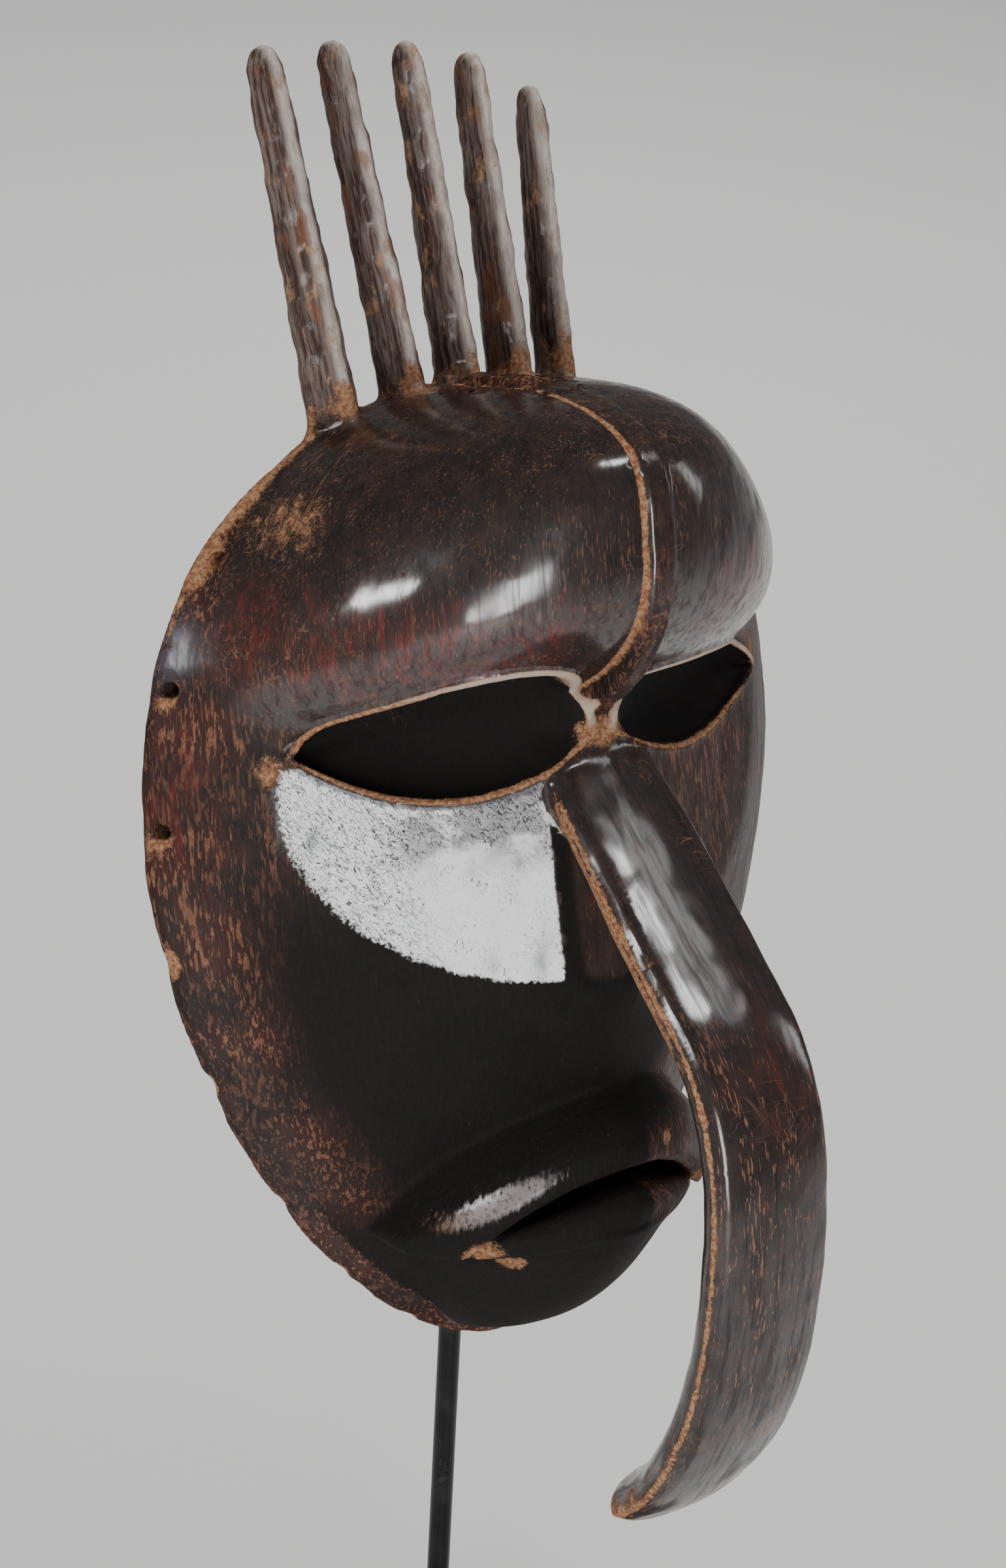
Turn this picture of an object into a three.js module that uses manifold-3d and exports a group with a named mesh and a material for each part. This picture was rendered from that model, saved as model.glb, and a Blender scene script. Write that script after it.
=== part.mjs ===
// A carved wooden elephant mask with a hanging trunk and a comb of five tines,
// held on a black rod that stands on a flat black foot.
// Units are millimetres, +Z is up and the mask looks along -Y.
// The mask is carved in a frame of its own: x across, d forward from the plane
// of its back rim, z up from the chin. The whole mask then leans back on the rod.

import * as THREE from 'three';
import { mergeVertices } from 'three/addons/utils/BufferGeometryUtils.js';
import Module from 'manifold-3d';

const wasm = await Module();
wasm.setup();

// Back rim: an egg-shaped outline, widest at rim.waist above the chin
const rim = { halfWidth: 94.8, waist: 151, height: 255, topPower: 2.35, chinPower: 1.66 };
const wallThickness = 9;

// Side wall: the outline shrinks by shrink at depth reach, faster further out
const wall = { shrink: 0.33, reach: 33, power: 1.2 };

// Flat cheeks: two planes that lean a little forward, with a low ridge between them
const cheek = { depthAtChin: 83.6, sideFall: 0.59, lowerRise: 0.1, ridgeHalf: 15, ridgeFall: 0.25 };

// Forehead dome: its depth by height, and its width as a share of the rim's
const dome = {
  depth: 87.2, fullestAt: 227, upperHeight: 34, upperPower: 4.5,
  lowerHeight: 49, widthShare: 0.89, crownRise: 0.12,
  browTop: 206, browTaper: 0.13,
};

// Raised band over the middle of the forehead, down to between the eyes
const band = { halfWidth: 3.7, height: 1.8, lowerHeight: 58, foot: 177 };

// Blind eyes: lens-shaped scoops sunk below the cheeks. The one on the +X side is
// longer and lower, and its outer corner hangs
const eye = { recess: 9, innerPower: 0.5, outerPower: 0.75 };
const eyes = [
  { side: -1, middleX: 34.8, halfLength: 31, z: 179, rise: 20.5, fall: 12.5, hang: 0 },
  { side: 1, middleX: 39, halfLength: 35, z: 175.5, rise: 14.5, fall: 10, hang: 0.09 },
];

// Jaw and lips: depth falls and height drops from the median line outwards
const jaw = { foot: 7, top: 51, hollowShare: 0.5, growth: 9.75, frontRadius: 18 };
const lip = {
  depth: 66, depthFall: 0.0624, depthPower: 1.62,
  upperLowZ: 66.5, upperLowDrop: 0.016, lowerTopZ: 62, lowerTopDrop: 0.367,
  crestZ: 78.5, crestDrop: 0.0134, crestPower: 1.96, crestTilt: 0.1,
  upperReach: 46, lowerReach: 33, lowerForward: 2, lowerSetBack: 6, lowerHeight: 12,
  mouthReach: 30, mouthDeep: 13, thick: 37, muzzleRise: 20,
};

// Trunk: the middle of its section, as depth and height, from the root to the tip
const trunkPath = [
  [44, 178], [60.5, 164], [89, 133.5], [111, 108.5], [117, 86.5],
  [113.5, 51.5], [102, 18], [83, -8], [61, -24],
];
const trunk = {
  halfWidth: 17.2, rootShare: 0.82, rootLength: 0.3, tipShare: 0.72, tipLength: 0.28,
  front: 8, crown: 2.2, back: 9, bevel: 2.4,
};

// Comb of tines on the crown: root and tip as x, depth and height, then half sizes
const tines = [
  { root: [-32.4, 3, 244], tip: [-35.2, -16.2, 339.1], across: 6.6, deep: 8.2 },
  { root: [-12.1, 3, 246], tip: [-16.2, -16, 338.3], across: 5.8, deep: 7.8 },
  { root: [3.5, 3, 248], tip: [4.9, -15.4, 335.5], across: 5.4, deep: 7.8 },
  { root: [18.7, 3, 246], tip: [21.8, -14.3, 330.8], across: 5.4, deep: 7.8 },
  { root: [32, 3, 243], tip: [37.9, -12, 321], across: 4.7, deep: 7.2 },
];
const tineTaper = 0.72;

// Tie holes through the side wall just in front of the rim, as heights above the chin
const tieHoles = { radius: 2, depth: 5, heights: [224, 195, 161] };

// How the mask is held: it leans back, its chin high above the foot
const leanBack = THREE.MathUtils.degToRad(10);
const chinHeight = 168;
const rod = { radius: 3, behindChin: 21.6, gap: 0.3, stayHeight: 12, stayRadius: 2.2, sides: 20 };
const facetLoss = 1;
const foot = { width: 140, depth: 130, thickness: 12, forward: 18, chamfer: 2 };

const woodMaterial = new THREE.MeshStandardMaterial({ color: 0x33211a, roughness: 0.38, metalness: 0 });
const rodMaterial = new THREE.MeshStandardMaterial({ color: 0x0a0a0b, roughness: 0.45, metalness: 0.6 });
const footMaterial = new THREE.MeshStandardMaterial({ color: 0x0c0c0d, roughness: 0.6, metalness: 0.3 });

// A point given by its place across, its depth forward and its height
function at(x, depth, z) {
  return new THREE.Vector3(x, -depth, z);
}

function signedVolume(points, faces) {
  let six = 0;
  const cross = new THREE.Vector3();
  for (let i = 0; i < faces.length; i += 3) {
    cross.crossVectors(points[faces[i + 1]], points[faces[i + 2]]);
    six += points[faces[i]].dot(cross);
  }
  return six / 6;
}

// A geometry from points and faces, turned so that its faces point outwards
function closedGeometry(points, faces) {
  const turned = signedVolume(points, faces) < 0 ? faces.slice().reverse() : faces;
  const geometry = new THREE.BufferGeometry().setFromPoints(points);
  geometry.setIndex(turned);
  return geometry;
}

function toSolid(geometry) {
  const bare = geometry.clone();
  bare.deleteAttribute('normal');
  bare.deleteAttribute('uv');
  const merged = mergeVertices(bare, 1e-4);
  return new wasm.Manifold(new wasm.Mesh({
    numProp: 3,
    vertProperties: new Float32Array(merged.attributes.position.array),
    triVerts: new Uint32Array(merged.index.array),
  }));
}

function toGeometry(solid) {
  const mesh = solid.getMesh();
  const geometry = new THREE.BufferGeometry();
  geometry.setAttribute('position', new THREE.BufferAttribute(mesh.vertProperties, 3));
  geometry.setIndex(new THREE.BufferAttribute(mesh.triVerts, 1));
  geometry.computeVertexNormals();
  return geometry;
}

// A closed skin over rings of equal length, with a fan over the first and last ring
function loft(rings) {
  const count = rings[0].length;
  const points = rings.flat();
  const faces = [];
  for (let k = 0; k + 1 < rings.length; k += 1) {
    for (let i = 0; i < count; i += 1) {
      const a = k * count + i;
      const b = k * count + ((i + 1) % count);
      faces.push(a, b, b + count, a, b + count, a + count);
    }
  }
  const ends = [[0, 1], [rings.length - 1, -1]];
  for (const [k, side] of ends) {
    const middle = new THREE.Vector3();
    rings[k].forEach((p) => middle.addScaledVector(p, 1 / count));
    points.push(middle);
    for (let i = 0; i < count; i += 1) {
      const a = k * count + i;
      const b = k * count + ((i + 1) % count);
      faces.push(...(side > 0 ? [points.length - 1, b, a] : [points.length - 1, a, b]));
    }
  }
  return toSolid(closedGeometry(points, faces));
}

function steps(from, to, count) {
  return Array.from({ length: count + 1 }, (_, i) => from + ((to - from) * i) / count);
}

// Half the rim's height above or below its waist, and the power of that half
function rimHalf(up, inset) {
  const height = (up ? rim.height - rim.waist : rim.waist) - inset;
  return [height, up ? rim.topPower : rim.chinPower];
}

function rimPoint(angle, scale, depth) {
  const c = Math.cos(angle);
  const s = Math.sin(angle);
  const [height, power] = rimHalf(s >= 0, 0);
  const x = Math.sign(c) * rim.halfWidth * Math.abs(c) ** (2 / power);
  const z = Math.sign(s) * height * Math.abs(s) ** (2 / power);
  return at(x * scale, depth, rim.waist + z * scale);
}

function wallScale(depth) {
  return 1 - wall.shrink * (Math.max(depth, 0) / wall.reach) ** wall.power;
}

function domeDepth(z, inset) {
  const up = z >= dome.fullestAt;
  const height = up ? dome.upperHeight - 0.8 * inset : dome.lowerHeight - 0.3 * inset;
  const power = up ? dome.upperPower : 2;
  const share = 1 - (Math.abs(z - dome.fullestAt) / height) ** power;
  return (dome.depth - inset) * Math.max(share, 1e-9) ** (1 / power);
}

function domeHalfWidth(depth, z, inset) {
  const [height, power] = rimHalf(true, inset);
  const level = Math.max(z - dome.crownRise * depth - rim.waist, 0) / height;
  const share = Math.max(1 - level ** power, 1e-9) ** (1 / power);
  const low = Math.max(dome.browTop - z, 0) / (dome.browTop - dome.fullestAt + dome.lowerHeight);
  const brow = 1 - dome.browTaper * low ** 2;
  return Math.max(rim.halfWidth * dome.widthShare * share * brow - inset, 1e-3);
}

function insideDome(x, depth, z, inset) {
  if (z - dome.crownRise * depth > rim.height - inset) return false;
  if (z < dome.fullestAt - dome.lowerHeight + 0.3 * inset) return false;
  return Math.hypot(x / domeHalfWidth(depth, z, inset), depth / domeDepth(z, inset)) < 1;
}

// Depth of the cheek planes
function cheekDepth(x, z) {
  return cheek.depthAtChin - cheek.sideFall * Math.abs(x) - cheek.lowerRise * z;
}

// The face below the forehead: within the side wall and behind both cheek planes
function insideFace(x, depth, z, inset) {
  const [height, power] = rimHalf(z >= rim.waist, inset);
  const across = Math.abs(x / (rim.halfWidth - inset)) ** power;
  const along = Math.abs((z - rim.waist) / height) ** power;
  const share = (across + along) ** (1 / power);
  return share < wallScale(depth + 0.6 * inset) && depth < cheekDepth(x, z) - 1.17 * inset;
}

// A body found by feeling along rays from a point in the rim plane: rings run from
// the rim plane to straight ahead, and a skirt of the given depth closes its back
function feltBody(inside, originZ, around, rows, skirt) {
  const reach = 220;
  const rings = [];
  for (const tilt of steps(0, Math.PI / 2 - 0.02, rows)) {
    rings.push(steps(0, 2 * Math.PI, around).slice(0, -1).map((angle) => {
      const ray = [Math.cos(angle) * Math.cos(tilt), Math.sin(tilt), Math.sin(angle) * Math.cos(tilt)];
      let near = 0;
      let far = reach;
      for (let i = 0; i < 26; i += 1) {
        const mid = (near + far) / 2;
        if (inside(ray[0] * mid, ray[1] * mid, originZ + ray[2] * mid)) near = mid;
        else far = mid;
      }
      return at(ray[0] * near, ray[1] * near, originZ + ray[2] * near);
    }));
  }
  if (skirt > 0) rings.unshift(rings[0].map((p) => at(p.x, -skirt, p.z)));
  return loft(rings);
}

function wallBody() {
  const around = steps(0, 2 * Math.PI, 68).slice(0, -1);
  const rings = steps(0, 76, 12).map((depth) => around.map((a) => rimPoint(a, wallScale(depth), depth)));
  return loft(rings);
}

// The space behind the cheek planes and the ridge: a blunt wedge, wider than the mask
function cheekWedge() {
  const side = 130;
  const half = cheek.ridgeHalf;
  const ring = (z) => {
    const fall = cheekDepth(side, z);
    const edge = cheekDepth(half, z);
    const front = [at(half, edge, z), at(0, edge + cheek.ridgeFall * half, z), at(-half, edge, z)];
    return [at(-side, -10, z), at(side, -10, z), at(side, fall, z), ...front, at(-side, fall, z)];
  };
  return loft([ring(-20), ring(300)]);
}

function faceBody() {
  return wallBody().intersect(cheekWedge());
}

function foreheadDome() {
  return feltBody((x, d, z) => insideDome(x, d, z, 0), 206, 56, 20, 0);
}

// The hollow behind the face, one wall thickness inside it and open at the back
function hollow() {
  const inside = (x, d, z) => insideFace(x, d, z, wallThickness) || insideDome(x, d, z, wallThickness);
  const grow = wallThickness - 1;
  return feltBody(inside, rim.waist, 44, 15, 30)
    .add(jawBody(jaw.hollowShare, wallThickness))
    .subtract(eyeScoop(eyes[0], grow))
    .subtract(eyeScoop(eyes[1], grow));
}

// Outer profile of the band in the median plane, felt from inside the forehead
function bandProfile(angle) {
  const start = [24, 214];
  const ray = [Math.cos(angle), Math.sin(angle)];
  const frontAt = (z) => {
    const up = z >= dome.fullestAt;
    const height = up ? dome.upperHeight : band.lowerHeight;
    const power = up ? dome.upperPower : 2;
    const share = 1 - (Math.abs(z - dome.fullestAt) / height) ** power;
    return dome.depth * Math.max(share, 0) ** (1 / power);
  };
  let near = 0;
  let far = 120;
  for (let i = 0; i < 26; i += 1) {
    const mid = (near + far) / 2;
    const depth = start[0] + ray[0] * mid;
    const z = start[1] + ray[1] * mid;
    if (z - dome.crownRise * depth < rim.height && depth < frontAt(z)) near = mid;
    else far = mid;
  }
  return (grow) => [start[0] + ray[0] * (near + grow), start[1] + ray[1] * (near + grow)];
}

function foreheadBand() {
  const last = -Math.atan2(214 - band.foot, 44);
  const rings = steps(2.05, last, 30).map((angle) => {
    const profile = bandProfile(angle);
    const [outD, outZ] = profile(band.height);
    const [inD, inZ] = profile(-6);
    const w = band.halfWidth;
    return [at(-w, inD, inZ), at(-w, outD, outZ), at(w, outD, outZ), at(w, inD, inZ)];
  });
  return loft(rings);
}

// Rise of an eye's upper rim as a share of the most: blunt inside, pointed outside
function eyeArch(t) {
  const shape = (s) => Math.max(1 + s, 0) ** eye.innerPower * Math.max(1 - s, 0) ** eye.outerPower;
  const peak = (eye.innerPower - eye.outerPower) / (eye.innerPower + eye.outerPower);
  return shape(t) / shape(peak);
}

// The lens-shaped scoop of one eye, open to the front: its rings shrink towards the
// middle while they sink below the cheek, and grow makes a larger one all round
function eyeScoop(one, grow) {
  const upper = steps(-1, 1, 14).map((t) => [t, one.rise * eyeArch(t)]);
  const lower = steps(1, -1, 10).slice(1, -1).map((t) => [t, -one.fall * (1 - t * t)]);
  const outline = [...upper, ...lower];
  const middleRise = (one.rise - one.fall) / 2;
  const wide = one.halfLength + grow;
  const tall = 1 + (2 * grow) / (one.rise + one.fall);
  const ring = (share, ahead) => outline.map(([t, rise]) => {
    const x = one.middleX + wide * t * share;
    const z = one.z + middleRise + (rise - middleRise) * share * tall - one.hang * (x - one.middleX);
    const sunk = (eye.recess + grow) * Math.sqrt(1 - share ** 2);
    return at(one.side * x, ahead ? 130 : cheekDepth(x, z) - sunk, z);
  });
  return loft([...[0.25, 0.5, 0.75, 0.93, 1].map((share) => ring(share, false)), ring(1, true)]);
}

function lipDepth(x) {
  return lip.depth - lip.depthFall * Math.abs(x) ** lip.depthPower;
}

// Lower edge of the upper lip, an arch, and upper edge of the lower lip, a chevron
function upperLipLow(x) {
  return lip.upperLowZ - lip.upperLowDrop * x * x;
}

function lowerLipTop(x) {
  return lip.lowerTopZ - lip.lowerTopDrop * Math.abs(x);
}

function lipCrest(x) {
  return lip.crestZ + lip.crestTilt * x - lip.crestDrop * Math.abs(x) ** lip.crestPower;
}

function upperLip() {
  const rings = steps(-lip.upperReach, lip.upperReach, 22).map((x) => {
    const d = lipDepth(x);
    const low = upperLipLow(Math.min(Math.abs(x), 36));
    const top = Math.max(lipCrest(x), low + 1.5);
    const fade = THREE.MathUtils.clamp((lip.upperReach - Math.abs(x)) / 12, 0, 1);
    const front = d - 5 * (1 - fade) ** 2;
    const tall = top - low;
    return [
      at(x, d - lip.thick, top + lip.muzzleRise * fade - 2), at(x, front - 3.5 * fade, top),
      at(x, front, top - 0.4 * tall),
      at(x, front - 0.4, low + 0.15 * tall), at(x, front - 3 * fade, low), at(x, d - lip.thick, low),
    ];
  });
  return loft(rings);
}

function lowerLip() {
  const rings = steps(-lip.lowerReach, lip.lowerReach, 18).map((x) => {
    const d = lipDepth(x) + lip.lowerForward - (lip.lowerSetBack * Math.abs(x)) / lip.lowerReach;
    const top = lowerLipTop(x);
    const tall = lip.lowerHeight * (1 - 0.45 * (Math.abs(x) / lip.lowerReach) ** 2);
    return [
      at(x, d - lip.thick, top + 2), at(x, d - 3, top), at(x, d, top - 0.3 * tall),
      at(x, d - 1.5, top - 0.75 * tall), at(x, d - 5, top - tall), at(x, d - lip.thick, top - tall),
    ];
  });
  return loft(rings);
}

// Prow-shaped jaw: each level is half an ellipse with the same curve at its front,
// and its depth grows as the root of the height above the foot. A smaller and higher
// copy of it is hollowed out behind
function jawBody(size, lift) {
  const rings = steps(0.12, 1, 8).map((t) => {
    const rise = (jaw.top - jaw.foot) * t * t;
    const depth = jaw.growth * Math.sqrt(rise);
    const half = Math.sqrt(jaw.frontRadius * depth);
    return steps(0, Math.PI, 16).map((a) => {
      return at(size * half * Math.cos(a), 1 + size * depth * Math.sin(a), jaw.foot + lift + rise);
    });
  });
  return loft(rings);
}

// The open mouth between the lips, as a slot
function mouthCutter() {
  const rings = steps(-lip.mouthReach, lip.mouthReach, 16).map((x) => {
    const low = lowerLipTop(x);
    const high = Math.max(upperLipLow(x), low + 0.3);
    const back = lipDepth(x) - lip.mouthDeep;
    return [at(x, back, low), at(x, 90, low), at(x, 90, high), at(x, back, high)];
  });
  return loft(rings);
}

// Section of the trunk: a gently bulged front between two bevels, a rounded back
function trunkSection(share) {
  const half = trunk.halfWidth * share;
  const front = trunk.front * share;
  const edge = half - trunk.bevel;
  const bulge = steps(-1, 1, 4).map((t) => [edge * t, front - trunk.crown * t * t]);
  const back = steps(0, Math.PI, 8).map((a) => [half * Math.cos(a), 2 - (2 + trunk.back * share) * Math.sin(a)]);
  return [...bulge, ...back];
}

function trunkBody() {
  const curve = new THREE.CatmullRomCurve3(trunkPath.map(([d, z]) => at(0, d, z)), false, 'centripetal');
  const across = new THREE.Vector3(1, 0, 0);
  const rings = steps(0, 1, 30).map((u) => {
    const middle = curve.getPointAt(u);
    const out = new THREE.Vector3().crossVectors(curve.getTangentAt(u), across).normalize();
    const tip = THREE.MathUtils.clamp((u - 1 + trunk.tipLength) / trunk.tipLength, 0, 1);
    const root = THREE.MathUtils.clamp(1 - u / trunk.rootLength, 0, 1);
    const round = Math.sqrt(1 - THREE.MathUtils.clamp((u - 0.965) / 0.04, 0, 0.87) ** 2);
    const taper = 1 - (1 - trunk.tipShare) * tip ** 2 - (1 - trunk.rootShare) * root ** 2;
    const share = taper * round;
    return trunkSection(share).map(([x, n]) => middle.clone().addScaledVector(out, n).setX(x));
  });
  return loft(rings);
}

// A tine: a blade with a ridge in front and behind, its tip blunt and rounded
function tineBody({ root, tip, across, deep }) {
  const start = at(...root);
  const end = at(...tip);
  const axis = end.clone().sub(start).normalize();
  const side = new THREE.Vector3(1, 0, 0).addScaledVector(axis, -axis.x).normalize();
  const ahead = new THREE.Vector3().crossVectors(side, axis).negate();
  const outline = [
    [1, 0.12], [0.22, 1], [-0.22, 1], [-1, 0.12], [-1, -0.12], [-0.22, -1], [0.22, -1], [1, -0.12],
  ];
  const levels = [0, 0.2, 0.4, 0.6, 0.8, 0.93, 0.98, 1];
  const rings = levels.map((u) => {
    const round = u > 0.93 ? Math.sqrt(1.04 - ((u - 0.93) / 0.07) ** 2) : 1;
    const share = (1.1 - (1.1 - tineTaper) * u) * round;
    const middle = start.clone().lerp(end, u);
    return outline.map(([a, b]) => middle.clone()
      .addScaledVector(side, a * across * share)
      .addScaledVector(ahead, b * deep * share));
  });
  return loft(rings);
}

// Half the rim's width at a height above the chin
function rimHalfWidthAt(z) {
  const [height, power] = rimHalf(z >= rim.waist, 0);
  return rim.halfWidth * (1 - (Math.abs(z - rim.waist) / height) ** power) ** (1 / power);
}

function tieHole(z, side) {
  const geometry = new THREE.CylinderGeometry(tieHoles.radius, tieHoles.radius, 40, 10);
  const out = rimPoint(Math.atan2(z - rim.waist, rimHalfWidthAt(z)), 1, 0).setZ(0).normalize();
  geometry.rotateZ(Math.PI / 2);
  geometry.translate(side * out.x * rimHalfWidthAt(z), -tieHoles.depth, z);
  return toSolid(geometry);
}

function maskSolid() {
  let solid = faceBody().add(jawBody(1, 0)).add(upperLip()).add(lowerLip());
  solid = solid.add(foreheadDome()).add(foreheadBand());
  solid = solid.subtract(eyeScoop(eyes[0], 0)).subtract(eyeScoop(eyes[1], 0)).subtract(mouthCutter());
  solid = solid.add(trunkBody());
  tines.forEach((tine) => {
    solid = solid.add(tineBody(tine));
  });
  solid = solid.subtract(hollow());
  for (const z of tieHoles.heights) {
    solid = solid.subtract(tieHole(z, 1)).subtract(tieHole(z, -1));
  }
  return solid;
}

// Height above the chin at which the rod's line meets the inside of the crown
function crownAboveRod() {
  const behind = (z) => z * Math.sin(leanBack) - rod.behindChin * Math.cos(leanBack);
  const along = (z) => z * Math.cos(leanBack) + rod.behindChin * Math.sin(leanBack);
  let z = dome.fullestAt;
  const inset = wallThickness + facetLoss;
  while (insideDome(rod.radius, behind(z) - rod.radius, along(z), inset)) z += 0.25;
  return z;
}

// Upright rod from the foot to the crown, with a short stay out to the chin's rim
function standRod() {
  const bottom = foot.thickness + rod.gap;
  const top = chinHeight + crownAboveRod() - rod.gap;
  const y = rod.behindChin - foot.forward;
  const upright = new THREE.CylinderGeometry(rod.radius, rod.radius, top - bottom, rod.sides);
  upright.rotateX(Math.PI / 2);
  upright.translate(0, y, (top + bottom) / 2);
  const rimBack = (rod.stayHeight + rod.stayRadius) * Math.tan(leanBack) - foot.forward;
  const length = y - rimBack - rod.gap;
  const stay = new THREE.CylinderGeometry(rod.stayRadius, rod.stayRadius, length, rod.sides);
  stay.translate(0, y - length / 2, chinHeight + rod.stayHeight);
  return toSolid(upright).add(toSolid(stay));
}

function standFoot() {
  const { width, depth, thickness, chamfer } = foot;
  const ring = (z, inset) => {
    const w = width / 2 - inset;
    const d = depth / 2 - inset;
    return [[-w, -d], [w, -d], [w, d], [-w, d]].map(([x, y]) => new THREE.Vector3(x, y, z));
  };
  return loft([ring(0, 0), ring(thickness - chamfer, 0), ring(thickness, chamfer)]);
}

function piece(name, solid, material) {
  const mesh = new THREE.Mesh(toGeometry(solid), material);
  mesh.name = name;
  return mesh;
}

const part = new THREE.Group();

const maskGroup = new THREE.Group();
maskGroup.position.set(0, -foot.forward, chinHeight);
maskGroup.rotation.x = -leanBack;
maskGroup.add(piece('mask', maskSolid(), woodMaterial));
part.add(maskGroup);

part.add(piece('stand_rod', standRod(), rodMaterial));
part.add(piece('stand_foot', standFoot(), footMaterial));

export default part;
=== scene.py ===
# %% [markdown]
# A carved elephant mask on its stand.
# The real object is one piece of dark, oiled wood: an egg-shaped shell, hollow
# behind, with a domed forehead, two blind eyes, flat cheeks, thick lips, a trunk
# that curls down and back, and a comb of five tines on the crown.
# An upright black rod on a flat black foot holds it up.
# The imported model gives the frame. Nothing in it is moved: the fine wooden
# surface is made here, in the same place, and takes over from the plain solid.

# %% Load the frame
import math
import bpy
import numpy as np
from mathutils import Matrix, Vector


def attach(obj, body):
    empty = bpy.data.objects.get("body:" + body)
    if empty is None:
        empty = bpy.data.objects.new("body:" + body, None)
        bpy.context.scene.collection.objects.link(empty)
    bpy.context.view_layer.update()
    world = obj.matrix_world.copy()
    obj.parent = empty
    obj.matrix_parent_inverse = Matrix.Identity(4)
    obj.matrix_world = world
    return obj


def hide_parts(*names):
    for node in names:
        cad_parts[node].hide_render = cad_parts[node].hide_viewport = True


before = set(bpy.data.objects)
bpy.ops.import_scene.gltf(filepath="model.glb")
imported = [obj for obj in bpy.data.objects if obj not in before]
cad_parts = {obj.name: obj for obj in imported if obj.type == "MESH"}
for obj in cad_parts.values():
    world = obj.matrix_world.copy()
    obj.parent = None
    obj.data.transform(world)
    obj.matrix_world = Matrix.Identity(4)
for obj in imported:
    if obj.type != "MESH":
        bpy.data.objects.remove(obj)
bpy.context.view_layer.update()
print("nodes in the frame:", sorted(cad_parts))

# %% [markdown]
# The mask is carved in a frame of its own, because its formulas are simple there:
# x runs across, d runs forward from the flat plane of the back rim, and z runs up
# from the chin. On its stand the whole mask leans back, so one function turns a
# point of the mask's frame into a point of the scene. Sizes are in millimetres
# until that last step, and Blender gets metres.

# %% The mask's own frame
MM = 0.001
LEAN = math.radians(10)
CHIN_HEIGHT = 168
RIM_BEHIND_MIDDLE = -18


def to_scene(x, d, z):
    """Points of the mask's frame, in metres: turned back by LEAN about the chin, then lifted."""
    y = z * math.sin(LEAN) - d * math.cos(LEAN) + RIM_BEHIND_MIDDLE
    up = z * math.cos(LEAN) + d * math.sin(LEAN) + CHIN_HEIGHT
    return np.stack([x, y, up], axis=-1) * MM


# %% [markdown]
# A carving like this has no seams: cheek runs into forehead and trunk into face.
# Such a form could be sculpted by hand, or joined from parts with booleans, but
# joins leave hard lines. Here each form is a field instead: a function that is
# negative inside the wood, zero on its skin and positive outside, in about
# millimetres. The smaller of two fields joins two forms, the larger one cuts, and
# a soft minimum or maximum rounds the line where they meet, as wear does.

# %% Join and cut fields
def soft_min(a, b, width):
    """The smaller of two fields, with the corner between them filled over width."""
    near = np.maximum(width - np.abs(a - b), 0)
    return np.minimum(a, b) - near * near / (4 * width)


def soft_max(a, b, width):
    """The larger of two fields, with the corner between them rounded over width."""
    return -soft_min(-a, -b, width)


def ramp(low, high, value):
    """A smooth rise from 0 at low to 1 at high."""
    t = np.clip((value - low) / (high - low), 0, 1)
    return t * t * (3 - 2 * t)


def in_front_of(d, z, d1, z1, d2, z2):
    """Distance ahead of the line that runs down from (d1, z1) to (d2, z2)."""
    along_d, along_z = d2 - d1, z2 - z1
    length = np.hypot(along_d, along_z)
    return ((d1 - d) * along_z + (z - z1) * along_d) / length


# %% [markdown]
# The shell is an egg in front view: a superellipse, blunt on top and more pointed
# at the chin. Going forward it shrinks towards its widest point, and two flat
# planes cut the cheeks. The forehead is a dome with an elliptical section whose
# depth and width change with height.

# %% The shell: side wall, cheeks and forehead
RIM_HALF, RIM_WAIST, RIM_HEIGHT = 94.8, 151, 255
TOP_POWER, CHIN_POWER = 2.35, 1.66
WALL_THICKNESS = 9
WALL_SHRINK, WALL_REACH, WALL_POWER = 0.33, 33, 1.2
CHEEK_DEPTH, CHEEK_SIDE_FALL, CHEEK_RISE, CHEEK_STEEPNESS = 83.6, 0.59, 0.1, 1.17
RIDGE_HALF, RIDGE_FALL = 15, 0.25
DOME_DEPTH, DOME_FULLEST, DOME_WIDTH = 87.2, 227, 0.89
DOME_UPPER, DOME_UPPER_POWER, DOME_LOWER, DOME_HANG = 34, 4.5, 49, 4
CROWN_RISE, BROW_TOP, BROW_TAPER = 0.12, 206, 0.13


def rim_share(x, z, inset=0):
    """Superellipse norm: 1 on the egg-shaped rim and less inside it."""
    up = z >= RIM_WAIST
    height = np.where(up, RIM_HEIGHT - RIM_WAIST, RIM_WAIST) - inset
    power = np.where(up, TOP_POWER, CHIN_POWER)
    across = np.abs(x / (RIM_HALF - inset)) ** power
    along = np.abs((z - RIM_WAIST) / height) ** power
    return (across + along) ** (1 / power)


def wall_field(x, d, z, inset=0):
    """The side wall: the rim's outline, shrunk by a power of the depth."""
    ahead = np.maximum(d + 0.6 * inset, 0) / WALL_REACH
    scale = 1 - WALL_SHRINK * ahead ** WALL_POWER
    share = np.maximum(rim_share(x, z, inset), 1e-6)
    return np.hypot(x, z - RIM_WAIST) * (1 - scale / share)


def cheek_plane(x, z):
    """Depth of the two cheek planes, which fall back to both sides."""
    return CHEEK_DEPTH - CHEEK_SIDE_FALL * np.abs(x) - CHEEK_RISE * z


def cheek_field(x, d, z, inset=0):
    """Behind the cheek planes; the outer face also stays behind a low middle ridge.

    A depth divided by the steepness of a plane is the distance from that plane.
    """
    depth = cheek_plane(x, z)
    if inset == 0:
        ridge = cheek_plane(RIDGE_HALF, z) + RIDGE_FALL * (RIDGE_HALF - np.abs(x))
        depth = np.minimum(depth, ridge)
    return (d - depth) / CHEEK_STEEPNESS + inset


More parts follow.
